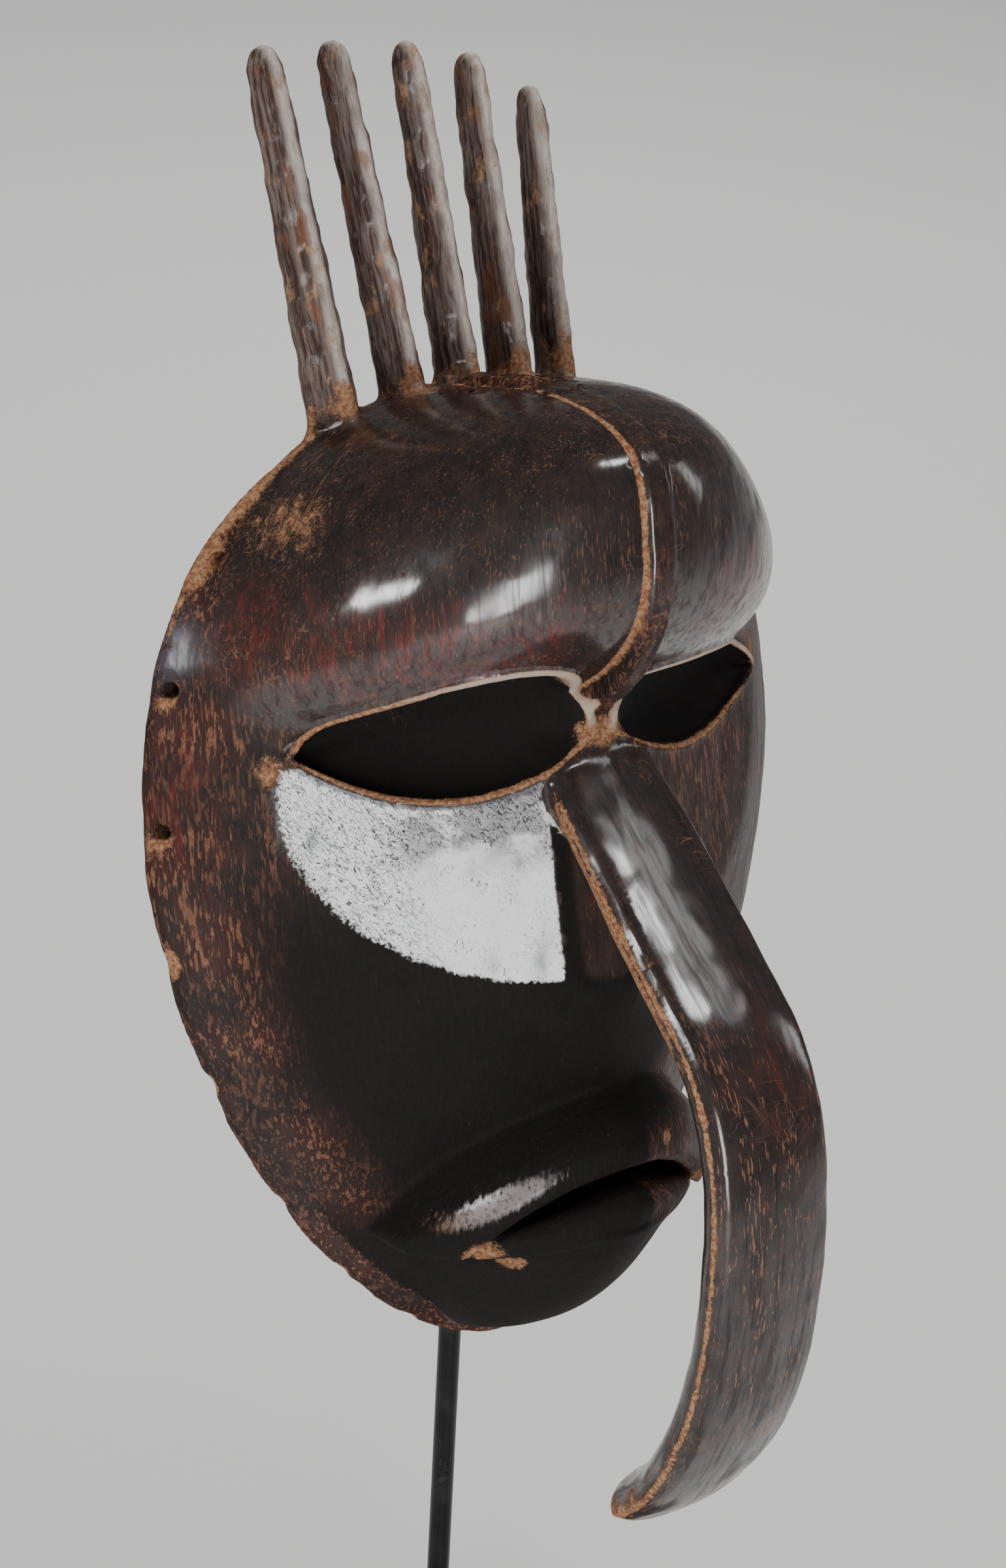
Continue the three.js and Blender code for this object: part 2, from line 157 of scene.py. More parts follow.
def dome_depth(z, inset=0, lower=DOME_LOWER):
    """Depth of the forehead on the median line, by height."""
    height = np.where(z >= DOME_FULLEST, DOME_UPPER - 0.8 * inset, lower - 0.3 * inset)
    power = np.where(z >= DOME_FULLEST, DOME_UPPER_POWER, 2)
    share = 1 - np.abs((z - DOME_FULLEST) / height) ** power
    return (DOME_DEPTH - inset) * np.maximum(share, 1e-6) ** (1 / power)


def dome_half_width(d, z, inset=0):
    """Half the forehead's width: the rim's, narrower towards the brow."""
    height = RIM_HEIGHT - RIM_WAIST - inset
    level = np.maximum(z - CROWN_RISE * d - RIM_WAIST, 0) / height
    share = np.maximum(1 - level ** TOP_POWER, 1e-6) ** (1 / TOP_POWER)
    low = np.maximum(BROW_TOP - z, 0) / (BROW_TOP - DOME_FULLEST + DOME_LOWER)
    return np.maximum(RIM_HALF * DOME_WIDTH * share * (1 - BROW_TAPER * low ** 2) - inset, 1)


def dome_field(x, d, z, inset=0):
    """The forehead: an ellipse in each level, cut by the gently rising crown."""
    lower = DOME_LOWER + DOME_HANG * ramp(0, 30, x)
    share = np.hypot(x / dome_half_width(d, z, inset), d / dome_depth(z, inset, lower))
    round_body = np.hypot(x, d) * (1 - 1 / np.maximum(share, 1e-6))
    crown = z - CROWN_RISE * d - (RIM_HEIGHT - inset)
    return soft_max(round_body, crown, 4 if inset == 0 else 8)


# %% [markdown]
# The eyes are blind: shallow, lens-shaped scoops whose floor follows the cheek, with
# a thin raised rim. The carver didn't make them alike: the one on the +x side is
# longer and lower, and its outer corner hangs. An outline is a closed curve round a
# middle point, so its radius by angle is looked up, and a point's share of that
# radius says how far out it lies.

# %% The blind eyes
EYE_RECESS, EYE_INNER_POWER, EYE_OUTER_POWER = 9, 0.5, 0.75
RIM_OUT, RIM_THICK, RIM_THIN = 1.0, 1.6, 0.9
EYES = {
    -1: {"x": 34.8, "half": 31, "z": 179, "rise": 20.5, "fall": 12.5, "hang": 0},
    1: {"x": 39, "half": 35, "z": 175.5, "rise": 14.5, "fall": 10, "hang": 0.09},
}


def eye_outline(eye, grow):
    """Radius of an eye's outline by angle, as two sorted arrays."""
    t = np.linspace(-1, 1, 181)
    arch = (1 + t) ** EYE_INNER_POWER * (1 - t) ** EYE_OUTER_POWER
    middle = (eye["rise"] - eye["fall"]) / 2
    upper = eye["rise"] * arch / arch.max() - middle
    lower = -eye["fall"] * (1 - t * t) - middle
    tall = 1 + 2 * grow / (eye["rise"] + eye["fall"])
    across = np.concatenate([t, t[::-1]]) * (eye["half"] + grow)
    along = np.concatenate([upper, lower[::-1]]) * tall
    angle = np.arctan2(along, across) % (2 * np.pi)
    order = np.argsort(angle)
    return angle[order], np.hypot(across, along)[order]


def eye_fields(x, z, grow=0):
    """A point's share of the eye's outline, its distance outside it and its rise in it."""
    found = []
    for eye in EYES.values():
        across = np.abs(x) - eye["x"]
        along = z - eye["z"] - (eye["rise"] - eye["fall"]) / 2 + eye["hang"] * across
        reach = np.hypot(across, along)
        angle = np.arctan2(along, across) % (2 * np.pi)
        radius = np.interp(angle, *eye_outline(eye, grow), period=2 * np.pi)
        found.append((reach / radius, reach - radius, along))
    return [np.where(x < 0, one, other) for one, other in zip(*found)]


def scoop_field(x, d, z, grow=0):
    """The scoop of an eye: everything ahead of a bowl as wide as the outline."""
    share, outside, _ = eye_fields(x, z, grow)
    sunk = (EYE_RECESS + grow) * np.sqrt(np.maximum(1 - share ** 2, 0))
    return np.maximum(0.8 * outside, (cheek_plane(x, z) - sunk - d) / CHEEK_STEEPNESS)


def rim_bead_field(x, z, face):
    """A round bead on the face along the eye's outline, thicker above the eye than below."""
    _, outside, rise = eye_fields(x, z)
    thick = RIM_THIN + (RIM_THICK - RIM_THIN) * ramp(-9, 0, rise)
    return np.hypot(outside - RIM_OUT, face) - thick


# %% [markdown]
# The band is a raised strip over the middle of the forehead. The lips are two
# carved bars that follow the mouth line back round the jaw, and the jaw is a prow
# whose depth grows as the root of its height.

# %% Band, lips and jaw
BAND_HALF, BAND_HEIGHT, BAND_LOWER, BAND_FOOT = 3.7, 1.8, 58, 177
JAW_FOOT, JAW_TOP, JAW_GROWTH, JAW_RADIUS, JAW_HOLLOW = 7, 51, 9.75, 18, 0.5
LIP_DEPTH, LIP_FALL, LIP_POWER, LIP_BACK = 66, 0.0624, 1.62, 37
UPPER_LOW, UPPER_LOW_DROP, LOWER_TOP, LOWER_TOP_DROP = 66.5, 0.016, 62, 0.367
CREST_Z, CREST_DROP, CREST_POWER, CREST_TILT = 78.5, 0.0134, 1.96, 0.1
UPPER_REACH, LOWER_REACH, LOWER_FORWARD, LOWER_BACK, LOWER_HEIGHT = 46, 33, 2, 6, 12
MOUTH_REACH, MOUTH_DEEP, MUZZLE_RISE = 30, 13, 20


def band_field(x, d, z):
    """A strip of even width that stands proud of the forehead's median line."""
    proud = (dome_depth(z, 0, BAND_LOWER) + BAND_HEIGHT - d) * -0.8
    top = z - CROWN_RISE * d - (RIM_HEIGHT + BAND_HEIGHT)
    across = np.abs(x) - BAND_HALF
    rounded = soft_max(soft_max(proud, top, 6), across, 1.6)
    return np.maximum(rounded, BAND_FOOT - z)


def lip_depth(x):
    """How far forward the lips reach: full in the middle, less by a power of x."""
    return LIP_DEPTH - LIP_FALL * np.abs(x) ** LIP_POWER


def upper_lip_low(x):
    """Lower edge of the upper lip, an arch."""
    return UPPER_LOW - UPPER_LOW_DROP * x * x


def lower_lip_top(x):
    """Upper edge of the lower lip, a chevron with a softened point."""
    return LOWER_TOP + 0.6 - LOWER_TOP_DROP * np.hypot(x, 2)


def lip_crest(x):
    """Upper edge of the upper lip: an arch, a power of x, that rises a little to +x."""
    return CREST_Z + CREST_TILT * x - CREST_DROP * np.abs(x) ** CREST_POWER


def bar_field(d, z, profile, top, bottom, back, edge):
    """A bar with a faceted front: the largest of its faces' fields, softly joined."""
    field = soft_max(z - top, bottom - z, edge)
    for (d1, z1), (d2, z2) in zip(profile, profile[1:]):
        field = soft_max(field, in_front_of(d, z, d1, z1, d2, z2), edge)
    return soft_max(field, back - d, edge)


def upper_lip_field(x, d, z):
    """A bar between the mouth and the crest, with the muzzle rising back from its top."""
    reach = np.minimum(np.abs(x), UPPER_REACH)
    low = upper_lip_low(np.minimum(reach, 36))
    top = np.maximum(lip_crest(np.sign(x) * reach), low + 1.5)
    fade = np.clip((UPPER_REACH - reach) / 12, 0, 1)
    depth = lip_depth(reach)
    front = depth - 5 * (1 - fade) ** 2
    tall = top - low
    muzzle = top + MUZZLE_RISE * fade - 2
    profile = [
        (depth - LIP_BACK, muzzle), (front - 3.5 * fade, top), (front, top - 0.4 * tall),
        (front - 0.4, low + 0.15 * tall), (front - 3 * fade, low),
    ]
    bar = bar_field(d, z, profile, muzzle + 3, low, depth - LIP_BACK, 1.2)
    return soft_max(bar, np.abs(x) - UPPER_REACH, 1.5)


def lower_lip_field(x, d, z):
    """A bar below the mouth, forward in the middle and set back at its ends."""
    reach = np.minimum(np.abs(x), LOWER_REACH)
    share = reach / LOWER_REACH
    front = lip_depth(reach) + LOWER_FORWARD - LOWER_BACK * share
    top = lower_lip_top(reach)
    tall = LOWER_HEIGHT * (1 - 0.45 * share ** 2)
    profile = [
        (front - 3, top), (front, top - 0.3 * tall),
        (front - 1.5, top - 0.75 * tall), (front - 5, top - tall),
    ]
    bar = bar_field(d, z, profile, top, top - tall, front - LIP_BACK, 1.2)
    return soft_max(bar, np.abs(x) - LOWER_REACH, 1.5)


def mouth_field(x, d, z):
    """The open mouth between the lips, a slot."""
    slot = soft_max(lower_lip_top(x) - z, z - upper_lip_low(x), 0.6)
    slot = soft_max(slot, np.abs(x) - MOUTH_REACH, 1)
    return soft_max(slot, lip_depth(x) - MOUTH_DEEP - d, 1.5)


def jaw_field(x, d, z, size=1, lift=0):
    """Half an ellipse in each level, with the same curve at its front all the way."""
    rise = np.maximum(z - JAW_FOOT - lift, 0.05)
    depth = JAW_GROWTH * np.sqrt(rise)
    half = size * np.sqrt(JAW_RADIUS * depth)
    share = np.hypot(x / half, (d - 1) / (size * depth))
    prow = np.hypot(x, d - 1) * (1 - 1 / np.maximum(share, 1e-6))
    level = np.abs(z - lift - (JAW_TOP + JAW_FOOT) / 2) - (JAW_TOP - JAW_FOOT) / 2
    return np.maximum(prow, level)


# %% [markdown]
# The trunk is a flat bar with a bulged front and a round back, carried along a
# curve that lies in the median plane. A field needs, at every point, the nearest
# place on that curve. Both depend only on depth and height, so they are worked out
# once on a flat grid and read back for every point.

# %% The trunk's path
TRUNK_PATH = np.array([
    (44, 178), (60.5, 164), (89, 133.5), (111, 108.5), (117, 86.5),
    (113.5, 51.5), (102, 18), (83, -8), (61, -24),
], float)
TRUNK_HALF, TRUNK_FRONT, TRUNK_CROWN, TRUNK_BACK, TRUNK_BEVEL = 17.2, 8, 2.2, 9, 2.4
ROOT_SHARE, ROOT_LENGTH, TIP_SHARE, TIP_LENGTH = 0.82, 0.3, 0.72, 0.28


def smooth_curve(knots, pieces=16):
    """A centripetal Catmull-Rom curve through the knots."""
    ends = [2 * knots[0] - knots[1], *knots, 2 * knots[-1] - knots[-2]]
    u = np.linspace(0, 1, pieces, endpoint=False)[:, None]
    run = []
    for p0, p1, p2, p3 in zip(ends, ends[1:], ends[2:], ends[3:]):
        g0, g1, g2 = (math.dist(a, b) ** 0.5 for a, b in ((p0, p1), (p1, p2), (p2, p3)))
        leave = (p1 - p0) / g0 - (p2 - p0) / (g0 + g1) + (p2 - p1) / g1
        arrive = (p2 - p1) / g1 - (p3 - p1) / (g1 + g2) + (p3 - p2) / g2
        leave, arrive = leave * g1, arrive * g1
        run.append((2 * u ** 3 - 3 * u ** 2 + 1) * p1 + (u ** 3 - 2 * u ** 2 + u) * leave
                   + (3 * u ** 2 - 2 * u ** 3) * p2 + (u ** 3 - u ** 2) * arrive)
    return np.vstack([*run, knots[-1:]])


trunk_curve = smooth_curve(TRUNK_PATH)
trunk_arc = np.concatenate([[0], np.cumsum(np.hypot(*np.diff(trunk_curve, axis=0).T))])
trunk_length = trunk_arc[-1]


def nearest_on_trunk(d, z):
    """Nearest place on the curve: the run along it, open at both ends, and how far ahead."""
    best = np.full(d.shape, 1e9)
    run, ahead = np.zeros(d.shape), np.zeros(d.shape)
    last = len(trunk_curve) - 2
    for k, (start, end) in enumerate(zip(trunk_curve, trunk_curve[1:])):
        length = trunk_arc[k + 1] - trunk_arc[k]
        step = (end - start) / length
        u = (d - start[0]) * step[0] + (z - start[1]) * step[1]
        side = (z - start[1]) * step[0] - (d - start[0]) * step[1]
        far = np.hypot(u - np.clip(u, 0, length), side)
        nearer = far < best
        held = np.clip(u, -1e9 if k == 0 else 0, 1e9 if k == last else length)
        best = np.where(nearer, far, best)
        run = np.where(nearer, trunk_arc[k] + held, run)
        ahead = np.where(nearer, side, ahead)
    return run, ahead


TABLE_LOW, TABLE_STEP, TABLE_COUNT = np.array([-30.0, -36.0]), 0.5, (330, 770)
table_axes = [lo + TABLE_STEP * np.arange(n) for lo, n in zip(TABLE_LOW, TABLE_COUNT)]
trunk_table = nearest_on_trunk(*np.meshgrid(*table_axes, indexing="ij"))


def along_trunk(d, z):
    """The same two values, read from the flat grid by going linearly between its points."""
    u = np.clip((d - TABLE_LOW[0]) / TABLE_STEP, 0, TABLE_COUNT[0] - 1.001)
    v = np.clip((z - TABLE_LOW[1]) / TABLE_STEP, 0, TABLE_COUNT[1] - 1.001)
    i, j = u.astype(int), v.astype(int)
    u, v = u - i, v - j
    return [
        (t[i, j] * (1 - v) + t[i, j + 1] * v) * (1 - u)
        + (t[i + 1, j] * (1 - v) + t[i + 1, j + 1] * v) * u
        for t in trunk_table
    ]


def trunk_share(u):
    """Size of the trunk's section along its length, narrower at root and tip."""
    tip = np.clip((u - 1 + TIP_LENGTH) / TIP_LENGTH, 0, 1)
    root = np.clip(1 - u / ROOT_LENGTH, 0, 1)
    blunt = np.sqrt(1 - np.clip((u - 0.965) / 0.04, 0, 0.87) ** 2)
    return (1 - (1 - TIP_SHARE) * tip ** 2 - (1 - ROOT_SHARE) * root ** 2) * blunt


def trunk_section(x, ahead, share):
    """Across the trunk: a bulged front, bevels at its edges and a half ellipse behind."""
    half, front = TRUNK_HALF * share, TRUNK_FRONT * share
    flat = half - TRUNK_BEVEL
    bulge = ahead - (front - TRUNK_CROWN * (x / flat) ** 2)
    slope_x, slope_n = front - TRUNK_CROWN - 2, TRUNK_BEVEL
    bevel = ((np.abs(x) - half) * slope_x + (ahead - 2) * slope_n) / np.hypot(slope_x, slope_n)
    behind = np.minimum(ahead - 2, 0)
    share_round = np.hypot(x / half, behind / (2 + TRUNK_BACK * share))
    back = np.hypot(x, behind) * (1 - 1 / np.maximum(share_round, 1e-6))
    return soft_max(soft_max(bulge, bevel, 0.8), back, 0.5)


def trunk_field(x, run, ahead):
    """The section carried along the path and closed at both ends."""
    share = trunk_share(np.clip(run / trunk_length, 0, 1))
    body = soft_max(trunk_section(x, ahead, share), run - trunk_length, 2)
    return soft_max(body, -run, 1)


print(f"trunk: {trunk_length:.0f} mm along its middle")

# %% [markdown]
# Each tine of the comb is a blade: a diamond in section with its tips cut off, so
# that a ridge runs up its front. It tapers a little and ends in a blunt, worn tip.

# %% The comb of tines
TINES = [
    ((-32.4, 3, 244), (-35.2, -16.2, 339.1), 6.6, 8.2),
    ((-12.1, 3, 246), (-16.2, -16, 338.3), 5.8, 7.8),
    ((3.5, 3, 248), (4.9, -15.4, 335.5), 5.4, 7.8),
    ((18.7, 3, 246), (21.8, -14.3, 330.8), 5.4, 7.8),
    ((32, 3, 243), (37.9, -12, 321), 4.7, 7.2),
]
TINE_TAPER = 0.72


def tine_frame(x, d, z, root, tip):
    """A point's height up a tine, and its places across and ahead of its axis."""
    root, tip = np.array(root, float), np.array(tip, float)
    length = np.linalg.norm(tip - root)
    axis = (tip - root) / length
    side = np.array([1, 0, 0]) - axis * axis[0]
    side /= np.linalg.norm(side)
    front = np.cross(side, axis)
    front *= np.sign(front[1])
    px, pd, pz = x - root[0], d - root[1], z - root[2]
    up, across, ahead = (px * v[0] + pd * v[1] + pz * v[2] for v in (axis, side, front))
    return up / length, across, ahead, length


def tine_field(x, d, z, root, tip, half, deep):
    """A blade with a ridge ahead and behind; its size falls towards the tip."""
    u, across, ahead, length = tine_frame(x, d, z, root, tip)
    blunt = np.sqrt(np.clip(1.04 - (np.maximum(u - 0.93, 0) / 0.07) ** 2, 0.04, 1))
    size = (1.1 - (1.1 - TINE_TAPER) * np.clip(u, 0, 1)) * blunt
    wide, thick = half * size, deep * size
    lean_x, lean_n = 0.88 * thick, 0.78 * wide
    slant = (np.abs(across) - wide) * lean_x + (np.abs(ahead) - 0.12 * thick) * lean_n
    blade = soft_max(slant / np.hypot(lean_x, lean_n), np.abs(across) - wide, 1.2)
    blade = soft_max(blade, np.abs(ahead) - thick, 1)
    return np.maximum(soft_max(blade, (u - 1) * length, 1.2), -u * length - 6)


# %% [markdown]
# No carved face is as even as its formulas. The adze leaves long, shallow waves on
# the outside and a field of scallops in the hollow, the tines are knotted and
# notched, and the rim is dented where it has been knocked. All of that is one small
# field, added to the whole: a positive value sinks the skin by that much.

# %% Hand marks
WORN_SPOTS = [(-90, 3.6, 126.5), (-81, 1, 92), (-63, 0, 57), (-47, 0, 33), (-28, 0, 13),
              (-20, 22, 12), (-24, 14, 15)]


def waves(x, d, z, size, phase=0):
    """Gentle bumps about size apart, between -1 and 1: sines along three slanted lines."""
    k = 2 * np.pi / size
    one = np.sin(k * (0.9 * x + 0.35 * d - 0.3 * z) + phase)
    two = np.sin(k * (-0.4 * x + 0.8 * d + 0.5 * z) + 2 * phase + 1.3 * one)
    three = np.sin(k * (0.25 * x - 0.5 * d + 0.85 * z) + 3 * phase + 1.1 * two)
    return (one + two + three) / 3


def scallops(x, z, size):
    """Distance to the nearest of a grid of scattered points: the marks of an adze."""
    best = 9.0
    column, row = np.floor(x / size), np.floor(z / size)
    for i in (-1, 0, 1):
        for j in (-1, 0, 1):
            a, b = column + i, row + j
            px = a + 0.5 + 0.33 * np.sin(12.9 * a + 78.2 * b)
            pz = b + 0.5 + 0.33 * np.sin(39.3 * a + 11.1 * b)
            best = np.minimum(best, (x / size - px) ** 2 + (z / size - pz) ** 2)
    return np.sqrt(best)


def hand_marks(x, d, z):
    """How far the skin lies below its formula, in millimetres."""
    sunk = 0.14 * waves(x, d, z, 26) + 0.1 * waves(x, d, z, 11, 1)
    on_tines = ramp(250, 262, z)
    sunk = sunk + on_tines * (0.35 * waves(1.6 * x, d, z, 15, 2) + 0.25 * waves(x, d, z, 6, 4))
    near_rim = 1 - ramp(0, 5, d)
    sunk = sunk + (1 - on_tines) * near_rim * 0.22 * waves(x, 0, z, 23, 3)
    for spot in WORN_SPOTS:
        far = np.sqrt((x - spot[0]) ** 2 + (d - spot[1]) ** 2 + 0.35 * (z - spot[2]) ** 2)
        sunk = sunk + 0.9 * (1 - ramp(0.5, 3.2, far))
    return sunk


# %% [markdown]
# The hollow behind the face is the shell again, one wall thickness further in,
# with the backs of the two eye scoops left standing in it. Small holes go through
# the side wall near the rim, where ties once held the mask.

# %% The hollow and the tie holes
HOLE_RADIUS, HOLE_DEPTH, HOLE_HEIGHTS = 2, 5, (224, 195, 161)


def hollow_field(x, d, z):
    """The space behind the face: shell, forehead and jaw, less the backs of the eyes."""
    inset = WALL_THICKNESS
    shell = soft_max(wall_field(x, d, z, inset), cheek_field(x, d, z, inset), 6)
    space = soft_min(shell, dome_field(x, d, z, inset), 6)
    space = soft_min(space, jaw_field(x, d, z, JAW_HOLLOW, inset), 2)
    space = soft_max(space, -scoop_field(x, d, z, inset - 1), 3)
    return space + 0.9 * (scallops(x, z, 13) - 0.4)


def hole_field(x, d, z):
    """Round holes that run across, one above the other on each side."""
    holes = [np.hypot(d - HOLE_DEPTH, z - height) - HOLE_RADIUS for height in HOLE_HEIGHTS]
    return np.maximum(np.minimum.reduce(holes), 40 - np.abs(x))


# %% [markdown]
# The forms come together one after another, each with its own width of join: shell
# and jaw, lips, forehead, eye rims and band. Then eyes and mouth are cut in, trunk
# and comb are added, and the hollow and the tie holes are cut last.

# %% The whole mask as one field
def mask_field(x, d, z, run, ahead):
    """Negative in the wood: forms joined, eyes and mouth cut in, trunk and comb added."""
    shell = soft_max(wall_field(x, d, z), cheek_field(x, d, z), 1.2)
    face = soft_min(shell, jaw_field(x, d, z), 3)
    face = soft_min(face, upper_lip_field(x, d, z), 2.5)
    face = soft_min(face, lower_lip_field(x, d, z), 1.2)
    face = soft_min(face, dome_field(x, d, z), 3 + 9 * ramp(50, 75, np.abs(x)))
    face = soft_min(face, rim_bead_field(x, z, face), 1)
    face = soft_min(face, band_field(x, d, z), 0.8)
    face = soft_max(face, -scoop_field(x, d, z), 0.6)
    face = soft_max(face, -mouth_field(x, d, z), 0.8)
    face = soft_max(face, -d, 4)
    wood = soft_min(face, trunk_field(x, run, ahead), 2)
    for tine in TINES:
        wood = soft_min(wood, tine_field(x, d, z, *tine), 3)
    wood = soft_max(wood, -hollow_field(x, d, z), 2.5)
    wood = wood + hand_marks(x, d, z)
    return soft_max(wood, -hole_field(x, d, z), 0.5)


def field_at(x, d, z):
    """The mask's field at points given by x, d and z alone."""
    return mask_field(x, d, z, *along_trunk(d, z))


# %% [markdown]
# To get a mesh, the field is sampled on a lattice of cubes. Most of the lattice is
# far from the skin, so every fourth point is tried first, and only the blocks where
# the field comes near zero are worked out in full. Every cell that the skin passes
# through then gets one vertex, in the middle of the places where its edges are
# crossed, and every crossed lattice edge gets one quad. All of that is array work.
# Each vertex is then eased towards its neighbours and put back on the skin.

# %% Sample the field and draw a skin over it
LATTICE, BLOCK, NEAR = 1.05, 4, 7.5
LATTICE_LOW = np.array([-97.3, -23.3, -29.3])
LATTICE_HIGH = np.array([97.3, 128.3, 343.3])


def sample_lattice():
    """The field on a lattice of cubes, worked out in full only near the skin."""
    counts = np.ceil((LATTICE_HIGH - LATTICE_LOW) / LATTICE / BLOCK).astype(int)
    axes = [lo + LATTICE * BLOCK * np.arange(n) for lo, n in zip(LATTICE_LOW, counts)]
    middle = [axis + LATTICE * (BLOCK - 1) / 2 for axis in axes]
    d_flat, z_flat = np.meshgrid(middle[1], middle[2], indexing="ij")
    full = [np.broadcast_to(a, tuple(counts)) for a in along_trunk(d_flat, z_flat)]
    coarse = mask_field(*np.meshgrid(*middle, indexing="ij"), *full)
    field = np.repeat(np.repeat(np.repeat(coarse, BLOCK, 0), BLOCK, 1), BLOCK, 2)
    field = field.astype(np.float32)
    block = np.argwhere(np.abs(coarse) < NEAR)
    step = np.stack(np.meshgrid(*[np.arange(BLOCK)] * 3, indexing="ij"), axis=-1).reshape(-1, 3)
    fine = (block[:, None] * BLOCK + step[None]).reshape(-1, 3)
    x, d, z = (LATTICE_LOW + fine * LATTICE).T
    fine_axes = [lo + LATTICE * np.arange(n * BLOCK) for lo, n in zip(LATTICE_LOW, counts)]
    place = along_trunk(*np.meshgrid(fine_axes[1], fine_axes[2], indexing="ij"))
    run, ahead = (a[fine[:, 1], fine[:, 2]] for a in place)
    field[tuple(fine.T)] = mask_field(x, d, z, run, ahead)
    print(f"lattice: {field.size} points, {len(fine)} of them worked out")
    return field


def edge_ends(axis):
    """Indices of the near and the far points of all lattice edges along an axis."""
    return [
        tuple(part if k == axis else slice(None) for k in range(3))
        for part in (slice(0, -1), slice(1, None))
    ]


def lattice_skin(field):
    """One vertex per crossed cell and one quad per crossed edge, facing outwards."""
    cells = tuple(n - 1 for n in field.shape)
    total, count = np.zeros(cells + (3,), np.float32), np.zeros(cells, np.float32)
    inside = field < 0
    for axis in range(3):
        near, far = edge_ends(axis)
        crossed = inside[near] != inside[far]
        where = field[near] / np.where(crossed, field[near] - field[far], 1)
        b, c = [k for k in range(3) if k != axis]
        for i, j in ((0, 0), (0, 1), (1, 0), (1, 1)):
            part = [slice(None)] * 3
            part[b], part[c] = slice(i, i + cells[b]), slice(j, j + cells[c])
            hit = crossed[tuple(part)]
            count += hit
            total[..., axis] += where[tuple(part)] * hit
            total[..., b] += i * hit
            total[..., c] += j * hit
    live = count > 0
    index = np.full(cells, -1)
    index[live] = np.arange(live.sum())
    points = (np.argwhere(live) + total[live] / count[live][:, None]) * LATTICE + LATTICE_LOW
    quads = []
    for axis in range(3):
        near, far = edge_ends(axis)
        edge = np.argwhere(inside[near] != inside[far])
        b, c = (axis + 1) % 3, (axis + 2) % 3
        corners = []
        for i, j in ((1, 1), (0, 1), (0, 0), (1, 0)):
            cell = edge.copy()
            cell[:, b] -= i
            cell[:, c] -= j
            corners.append(index[tuple(cell.T)])
        quad = np.stack(corners, axis=1)
        leaving = inside[near][tuple(edge.T)]
        quad[~leaving] = quad[~leaving][:, ::-1]
        quads.append(quad)
    return points, np.vstack(quads)


def field_and_slope(points, reach=0.2):
    """The field at each point and its slope, by a small step along each axis."""
    value = field_at(*points.T)
    slope = [(field_at(*(points + step).T) - value) / reach for step in np.eye(3) * reach]
    return value, np.stack(slope, axis=1)


def put_on_skin(points, rounds):
    """Newton steps along the slope, none longer than a cell."""
    for _ in range(rounds):
        value, slope = field_and_slope(points)
        step = value / np.maximum((slope ** 2).sum(1), 0.15)
        points = points - np.clip(step, -LATTICE, LATTICE)[:, None] * slope
    return points


def ease(points, edges, share):
    """Each point moves a share of the way to the mean of its neighbours."""
    ends = np.concatenate([edges[:, 0], edges[:, 1]])
    others = np.concatenate([edges[:, 1], edges[:, 0]])
    count = np.maximum(np.bincount(ends, minlength=len(points)), 1)
    mean = [np.bincount(ends, points[others, k], len(points)) / count for k in range(3)]
    return points + share * (np.stack(mean, axis=1) - points)


def edges_of(faces):
    """Every edge of the faces once, as a pair of vertex numbers."""
    corners = faces.shape[1]
    pairs = np.vstack([faces[:, [k, (k + 1) % corners]] for k in range(corners)])
    return np.unique(np.sort(pairs, axis=1), axis=0)


skin_points, skin_quads = lattice_skin(sample_lattice())
skin_edges = edges_of(skin_quads)
for share, rounds in ((0.5, 2), (0.3, 1)):
    skin_points = put_on_skin(ease(skin_points, skin_edges, share), rounds)
print(f"skin: {len(skin_points)} vertices, {len(skin_quads)} quads")

# %% [markdown]
# That gives far more faces than the form needs. A Decimate modifier takes out the
# ones that say least, on flat ground first. A vertex group lets it work hardest in
# the hollow, which is rough and little seen.

# %% Thin the faces
TRIANGLE_LIMIT = 188000
OUTSIDE_WEIGHT = 0.12
HOLLOW_NEAR, HOLLOW_START, HOLLOW_PULL = 2, 3, 10


def raw_mesh(name, points, faces):
    """A mesh of the given points and faces."""
    mesh = bpy.data.meshes.new(name)
    mesh.from_pydata(np.asarray(points).tolist(), [], np.asarray(faces).tolist())
    return mesh


def new_object(name, data):
    """An object that shows the data, linked to the scene."""
    made = bpy.data.objects.new(name, data)
    bpy.context.scene.collection.objects.link(made)
    return made


def thin_hollow(points, quads):
    """Collapses edges until the whole skin is under the limit."""
    piece = new_object("thinning", raw_mesh("thinning", points, quads))
    x, d, z = points.T
    deep = (np.abs(hollow_field(x, d, z)) < HOLLOW_NEAR) & (d > HOLLOW_START)
    group = piece.vertex_groups.new(name="hollow")
    for weight, chosen in ((OUTSIDE_WEIGHT, ~deep), (1.0, deep)):
        group.add(np.flatnonzero(chosen).tolist(), weight, "REPLACE")
    modifier = piece.modifiers.new("thin", "DECIMATE")
    modifier.vertex_group = "hollow"
    modifier.vertex_group_factor = HOLLOW_PULL
    modifier.ratio = min(1, TRIANGLE_LIMIT / (2 * len(quads)))
    view = piece.evaluated_get(bpy.context.evaluated_depsgraph_get()).to_mesh()
    kept = np.empty(len(view.vertices) * 3, np.float32)
    view.vertices.foreach_get("co", kept)
    view.calc_loop_triangles()
    faces = np.empty(len(view.loop_triangles) * 3, np.int32)
    view.loop_triangles.foreach_get("vertices", faces)
    bpy.data.objects.remove(piece)
    return kept.reshape(-1, 3).astype(float), faces.reshape(-1, 3)


skin_points, skin_faces = thin_hollow(skin_points, skin_quads)
print(f"after thinning: {len(skin_points)} vertices, {len(skin_faces)} triangles")
